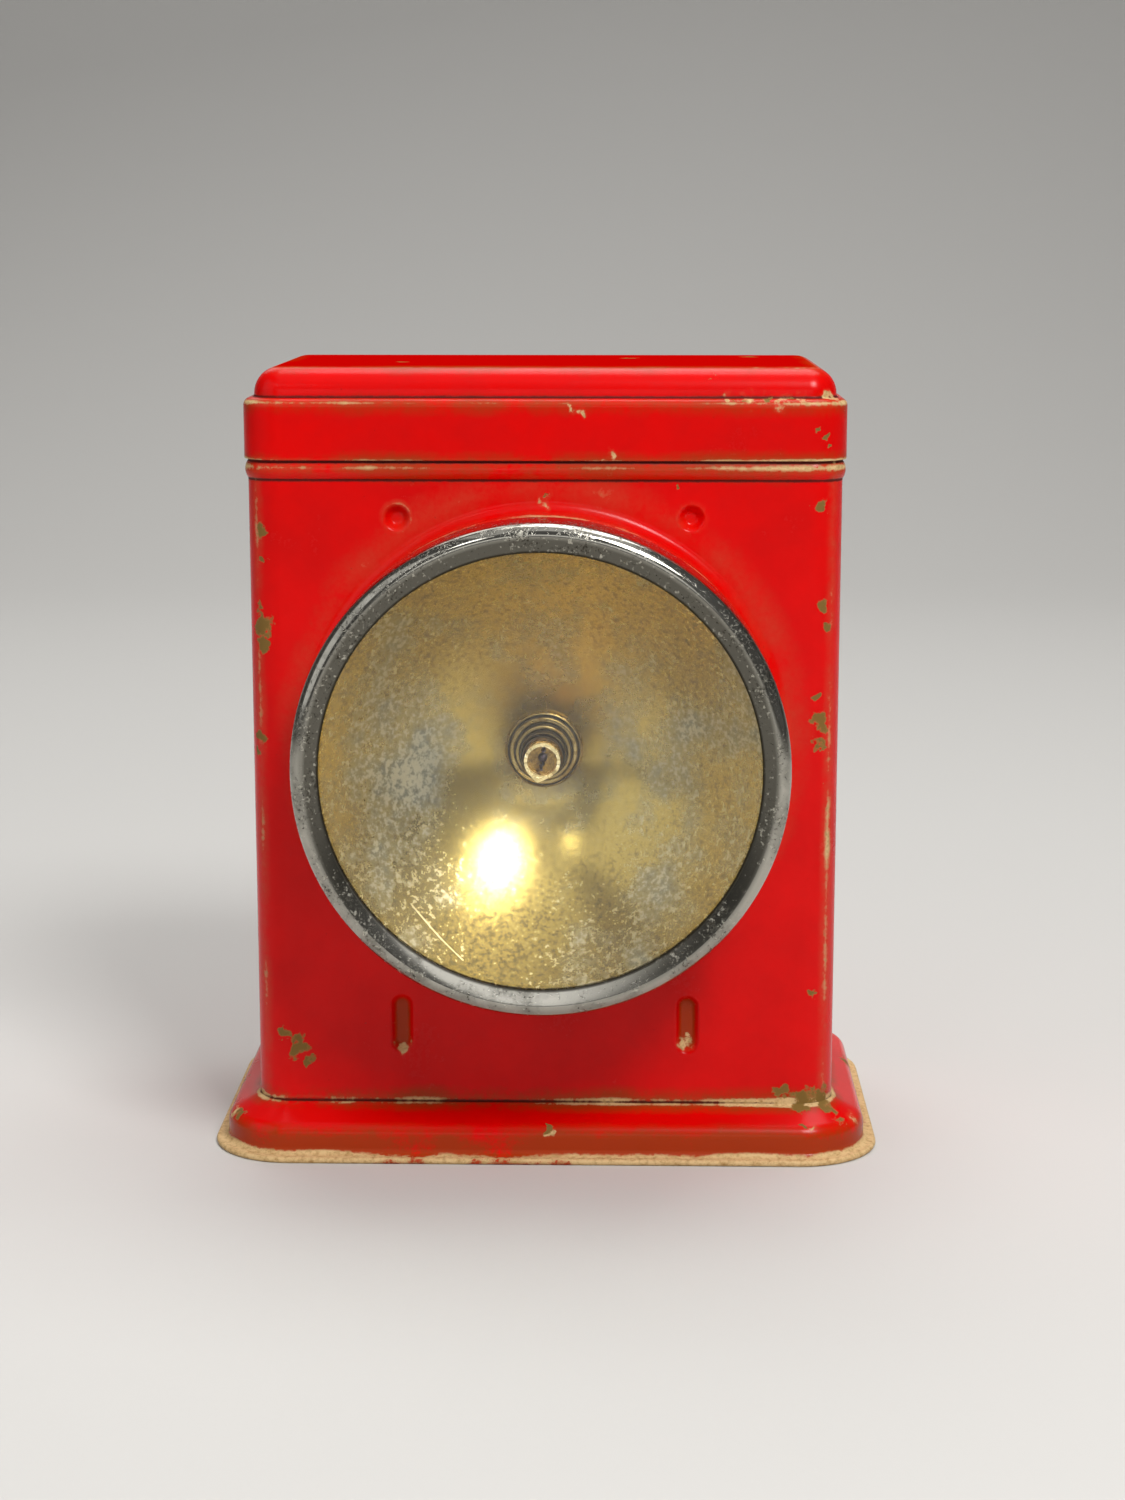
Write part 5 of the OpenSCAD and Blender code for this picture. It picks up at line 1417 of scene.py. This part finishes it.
class LANTERN_OT_bail(bpy.types.Operator):
    """Wire bail, bent round its corners and into its pins"""

    bl_idname = "lantern.bail"
    bl_label = "Bail"

    def execute(self, context):
        sizes = context.scene.lantern_sizes
        at = places(sizes)
        low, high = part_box("bail")
        ear_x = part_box("bail_ears")[1].x
        y, z = at.pivot_y, at.pivot_z
        leg_x = high.x - at.wire_r
        bar_z = low.z + at.wire_r
        pin_r = leg_x - ear_x
        corner_r = sizes.bail_r
        pin_end = ear_x - sizes.ear_w - sizes.pin_out
        chamfer = 0.4 * MM
        end_r = at.wire_r - chamfer
        grow = at.wire_r / end_r

        # Half the bail, from the end of its pin to the middle of its bar
        ring = [(pin_end, y + off_y, z + off_z) for off_y, off_z in circle(end_r, SMALL_LATHE_STEPS)]
        bail = trace("wire_bail", ring)
        bpy.ops.mesh.edge_face_add()
        pick(bail, "edges", lambda edge: True)
        push((chamfer, 0, 0))
        bpy.ops.transform.resize(value=(1, grow, grow), center_override=(pin_end + chamfer, y, z))
        push((leg_x - pin_r - pin_end - chamfer, 0, 0))
        bend = {"angle": math.pi / 2, "axis": (0, -1, 0)}
        bpy.ops.mesh.spin(steps=ARC_STEPS, center=(leg_x - pin_r, y, z - pin_r), **bend)
        push((0, 0, bar_z + corner_r - z + pin_r))
        bpy.ops.mesh.spin(steps=ROUND_END_STEPS, center=(leg_x - corner_r, y, bar_z + corner_r), **bend)
        push((corner_r - leg_x, 0, 0))
        bpy.ops.mesh.delete(type="ONLY_FACE")
        merge()
        apply_modifier(bail, "MIRROR", use_axis=(True, False, False), use_clip=True, merge_threshold=MERGE)
        pick(bail, "edges", lambda edge: True)
        merge()
        nickel = context.scene.lantern_colours.nickel
        # A bright grey wire with duller, yellowed patches
        wire = aged_metal("nickelled_wire", nickel, linear("9A9484"), 0.6 * MM, 0.22)
        dress(bail, wire, "handle", "bail_wire", "bail")
        return {"FINISHED"}


def rivets(name, sizes, material, slot, node, rows):
    """Round-headed rivets at both sides of a node's box, in rows from -1 at its foot to 1 at its top."""
    low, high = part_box(node)
    head_r = sizes.rivet_head_r
    head_h = sizes.rivet_head_h
    dome = (head_r ** 2 + head_h ** 2) / (2 * head_h)
    swing = math.degrees(math.asin(head_r / dome))
    inner = low.y + head_h / 2
    section = [
        (0, low.y),
        (head_r, low.y),
        (head_r, inner),
        (sizes.rivet_r, inner),
        (sizes.rivet_r, high.y - head_h),
        *arc(0, high.y - dome, dome, 90 - swing, 90),
    ]
    profile = [(r, -y) for r, y in section]
    middle_z = (low.z + high.z) / 2
    reach_z = (high.z - low.z) / 2 - head_r
    centres = [(x, middle_z + row * reach_z) for x in (low.x + head_r, high.x - head_r) for row in rows]
    first_x, first_z = centres[0]
    rivet = lathe(name, profile, 0, first_x, first_z, closed=False, steps=SMALL_LATHE_STEPS)
    offsets = [(x - first_x, 0, z - first_z) for x, z in centres[1:]]
    dress(join(repeated(rivet, offsets)), material, "housing", slot, node)


class LANTERN_OT_ears(bpy.types.Operator):
    """Ears of the bail, straps rolled round the wire, with their rivets"""

    bl_idname = "lantern.ears"
    bl_label = "Ears"

    def execute(self, context):
        sizes = context.scene.lantern_sizes
        at = places(sizes)
        low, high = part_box("bail_ears")
        width = sizes.ear_w
        strap = sizes.ear_t
        back = at.half_d
        outer = high.y - at.pivot_y
        lean = math.degrees(math.asin((back + strap - at.pivot_y) / outer))
        outline = [
            (back, low.z),
            (back + strap, low.z),
            *arc(at.pivot_y, at.pivot_z, outer, -180 - lean, 180 + lean, 4 * ARC_STEPS),
            (back + strap, high.z),
            (back, high.z),
        ]
        hole = arc(at.pivot_y, at.pivot_z, outer - strap, 0, 360, 2 * ROUND_END_STEPS)[1:]
        start = high.x - width
        walls = []
        for name, points in (("rolled_ear", outline), ("ear_hole", hole)):
            walls.append(trace(name, [(start, y, z) for y, z in points]))
            push((width, 0, 0))
            merge()
        ear = join(walls)
        for level in (start, high.x):
            fill_flat(ear, "x", level)
        apply_modifier(ear, "BEVEL", width=sizes.edge, segments=2, limit_method="ANGLE")
        apply_modifier(ear, "MIRROR", use_axis=(True, False, False), use_mirror_merge=False)
        pick(ear, "edges", lambda edge: True)
        merge()

        # Worn places in millimetres: x, y, z and radius
        chips = ((50, 38.5, 140, 1.2), (-52, 44.5, 152, 1.2), (46, 38.5, 160, 1.0))
        rubs = ((50, 44.3, 150, 2.2), (-49, 44.3, 150, 2.4), (54, 44, 151, 1.6), (-54, 44, 149, 1.4))
        rolled = (high.y - back, at.pivot_z, 0.6 * MM, 0.8)
        # The ear's foot is darkened as painted shade
        foot = (strap, low.z, 0.4 * MM)
        colours = context.scene.lantern_colours
        enamel = red_enamel("red_enamel_ears", colours, at.wall, [rolled], [foot], spots(rubs), spots(chips))
        dress(ear, enamel, "housing", "red_enamel_ears", "bail_ears")
        rivets("ear_rivet_heads", sizes, enamel, "red_enamel_ears", "ear_rivets", SIDES)
        return {"FINISHED"}


class LANTERN_OT_switch(bpy.types.Operator):
    """Thumb button of the slide switch, with the switch's rivets"""

    bl_idname = "lantern.switch"
    bl_label = "Switch"

    def execute(self, context):
        sizes = context.scene.lantern_sizes
        at = places(sizes)
        low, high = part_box("switch_button")
        half_w = high.x
        run = high.z - low.z - 2 * half_w
        seat = at.half_d + sizes.slide_gap
        outline = [
            *arc(0, at.switch_z + run / 2, half_w, 0, 180, ROUND_END_STEPS),
            *arc(0, at.switch_z - run / 2, half_w, 180, 360, ROUND_END_STEPS),
        ]
        button = trace("thumb_button", [(x, seat, z) for x, z in outline])
        bpy.ops.mesh.edge_face_add()
        push((0, high.y - seat, 0))
        merge()
        rounding = {"width": sizes.thumb_r, "segments": 4, "angle_limit": math.radians(50)}
        apply_modifier(button, "BEVEL", limit_method="ANGLE", **rounding)

        # Grooves for the thumb are cut across the face, with cutters that reach past both sides
        grooves = 5
        groove_r = 0.5 * MM
        past = 1 * MM
        pitch = (high.z - low.z) / (grooves + 1)
        section = arc(high.y, low.z + pitch, groove_r, 0, 360, ROUND_END_STEPS)[1:]
        groove = trace("groove", [(-half_w - past, y, z) for y, z in section])
        bpy.ops.mesh.edge_face_add()
        push((2 * half_w + 2 * past, 0, 0))
        merge()
        cutter = join(repeated(groove, [(0, 0, pitch * i) for i in range(1, grooves)]))
        apply_modifier(button, "BOOLEAN", object=cutter, operation="DIFFERENCE", solver="EXACT")
        bpy.data.objects.remove(cutter)

        half_h = sizes.switch_neck_h / 2
        neck = rectangle(sizes.switch_neck_w / 2, at.switch_z - half_h, at.switch_z + half_h, low.y)
        neck = trace("switch_neck", neck)
        bpy.ops.mesh.edge_face_add()
        push((0, seat - low.y, 0))
        merge()
        apply_modifier(neck, "BEVEL", width=sizes.edge, segments=2, limit_method="ANGLE")
        steel = nickelled_steel(context.scene.lantern_colours)
        dress(join([button, neck]), steel, "switch", "nickelled_steel", "switch_button")
        rivets("switch_rivet_heads", sizes, steel, "nickelled_steel", "switch_rivets", (0,))
        return {"FINISHED"}


class LANTERN_OT_inside(bpy.types.Operator):
    """Cells, leads and other pieces inside, as eased copies of the frame's own"""

    bl_idname = "lantern.inside"
    bl_label = "Inside"

    def execute(self, context):
        colours = context.scene.lantern_colours
        edge = context.scene.lantern_sizes.edge
        # Dark blue paper, black pitch, matt carbon, olive cotton, brown fibre, shiny glass, crumbled cement
        paper = mottled("jacket_paper", colours.paper, linear("22304D"), 3 * MM, 0.7, 0.02 * MM)
        pitch = mottled("poured_pitch", linear("1B1A18"), linear("0E0D0C"), 5 * MM, 0.35, 0.25 * MM)
        carbon = mottled("baked_carbon", linear("2C2C2C"), linear("1A1A1A"), 0.8 * MM, 0.75, 0.03 * MM)
        braid = mottled("braided_cotton", linear("6C6A38"), linear("3F3E20"), 0.7 * MM, 0.85, 0.12 * MM)
        fibre = mottled("vulcanised_fibre", linear("6A3A24"), linear("4C2818"), 1.5 * MM, 0.55, 0.02 * MM)
        black_glass = mottled("black_glass", linear("0A0A0A"), linear("141414"), 2 * MM, 0.15, 0.005 * MM)
        cement = mottled("bulb_cement", linear("9C7E36"), linear("4A3614"), 1.1 * MM, 0.85, 0.25 * MM)
        # Grey zinc, yellow brass, pale tin and soft solder, each with its own grain and gloss
        zinc = aged_metal("dull_zinc", linear("9A9B9C"), linear("6F7072"), 0.8 * MM, 0.45)
        brass = aged_metal("rolled_brass", colours.brass, linear("7C6534"), 0.6 * MM, 0.28)
        tin = aged_metal("tinned_sheet", linear("B8B6AE"), linear("8B8676"), 0.7 * MM, 0.3)
        solder = aged_metal("dull_solder", linear("A5A4A0"), linear("7D7B76"), 0.4 * MM, 0.4)
        steel = nickelled_steel(colours)
        # Node, finish, material slot and rounding of its edges
        copies = (
            ("floor_pan", tin, "tinned_steel", edge),
            ("lid_liner", fibre, "fibre", edge),
            ("socket_ring", steel, "nickelled_steel", edge),
            ("contact_insulator", fibre, "fibre", edge),
            ("centre_contact", brass, "bare_brass", edge),
            ("bulb_tip", solder, "solder", 0),
            ("bulb_insulator", black_glass, "black_glass", edge),
            ("bulb_cement", cement, "bulb_cement", 0),
            ("left_cell_jacket", paper, "cell_paper", edge),
            ("right_cell_jacket", paper, "cell_paper", edge),
            ("left_cell_core", zinc, "cell_zinc", edge),
            ("right_cell_core", zinc, "cell_zinc", edge),
            ("left_cell_seal", pitch, "pitch_seal", edge),
            ("right_cell_seal", pitch, "pitch_seal", edge),
            ("carbon_rods", carbon, "carbon", edge),
            ("centre_posts", brass, "bare_brass", edge),
            ("edge_posts", brass, "bare_brass", edge),
            ("terminal_nuts", brass, "bare_brass", 0),
            ("series_link", brass, "bare_brass", edge / 2),
            ("lamp_lead", braid, "covered_wire", 0),
            ("switch_lead", braid, "covered_wire", 0),
            ("switch_blade", brass, "bare_brass", edge / 2),
            ("switch_plate", fibre, "fibre", edge),
            ("switch_contact", brass, "bare_brass", edge / 2),
            ("switch_screw", brass, "bare_brass", edge),
        )
        for node, material, slot, rounding in copies:
            soft_copy(node, rounding, material, slot)
        return {"FINISHED"}


class LANTERN_PT_pieces(bpy.types.Panel):
    """Lists the lantern's pieces"""

    bl_label = "Lantern"
    bl_idname = "LANTERN_PT_pieces"
    bl_space_type = "VIEW_3D"
    bl_region_type = "UI"
    bl_category = "Lantern"

    def draw(self, context):
        for operator in OPERATORS:
            self.layout.operator(operator.bl_idname)


OPERATORS = (
    LANTERN_OT_stage,
    LANTERN_OT_case,
    LANTERN_OT_plinth,
    LANTERN_OT_lid,
    LANTERN_OT_bezel,
    LANTERN_OT_glass,
    LANTERN_OT_reflector,
    LANTERN_OT_socket,
    LANTERN_OT_screw_base,
    LANTERN_OT_broken_neck,
    LANTERN_OT_filament_stubs,
    LANTERN_OT_bail,
    LANTERN_OT_ears,
    LANTERN_OT_switch,
    LANTERN_OT_inside,
)
CLASSES = (LanternSizes, LanternColours, *OPERATORS, LANTERN_PT_pieces)


def register():
    """Adds the classes and the scene's sizes and colours."""
    for cls in CLASSES:
        bpy.utils.register_class(cls)
    bpy.types.Scene.lantern_sizes = bpy.props.PointerProperty(type=LanternSizes)
    bpy.types.Scene.lantern_colours = bpy.props.PointerProperty(type=LanternColours)


def unregister():
    """Takes away what register() adds."""
    del bpy.types.Scene.lantern_colours
    del bpy.types.Scene.lantern_sizes
    for cls in reversed(CLASSES):
        bpy.utils.unregister_class(cls)


def main():
    """Builds the stage and the lantern."""
    register()
    bpy.ops.lantern.stage()
    bpy.ops.lantern.case()
    bpy.ops.lantern.plinth()
    bpy.ops.lantern.lid()
    bpy.ops.lantern.bezel()
    bpy.ops.lantern.glass()
    bpy.ops.lantern.reflector()
    bpy.ops.lantern.socket()
    bpy.ops.lantern.screw_base()
    bpy.ops.lantern.broken_neck()
    bpy.ops.lantern.filament_stubs()
    bpy.ops.lantern.bail()
    bpy.ops.lantern.ears()
    bpy.ops.lantern.switch()
    bpy.ops.lantern.inside()


if __name__ == "__main__":
    main()
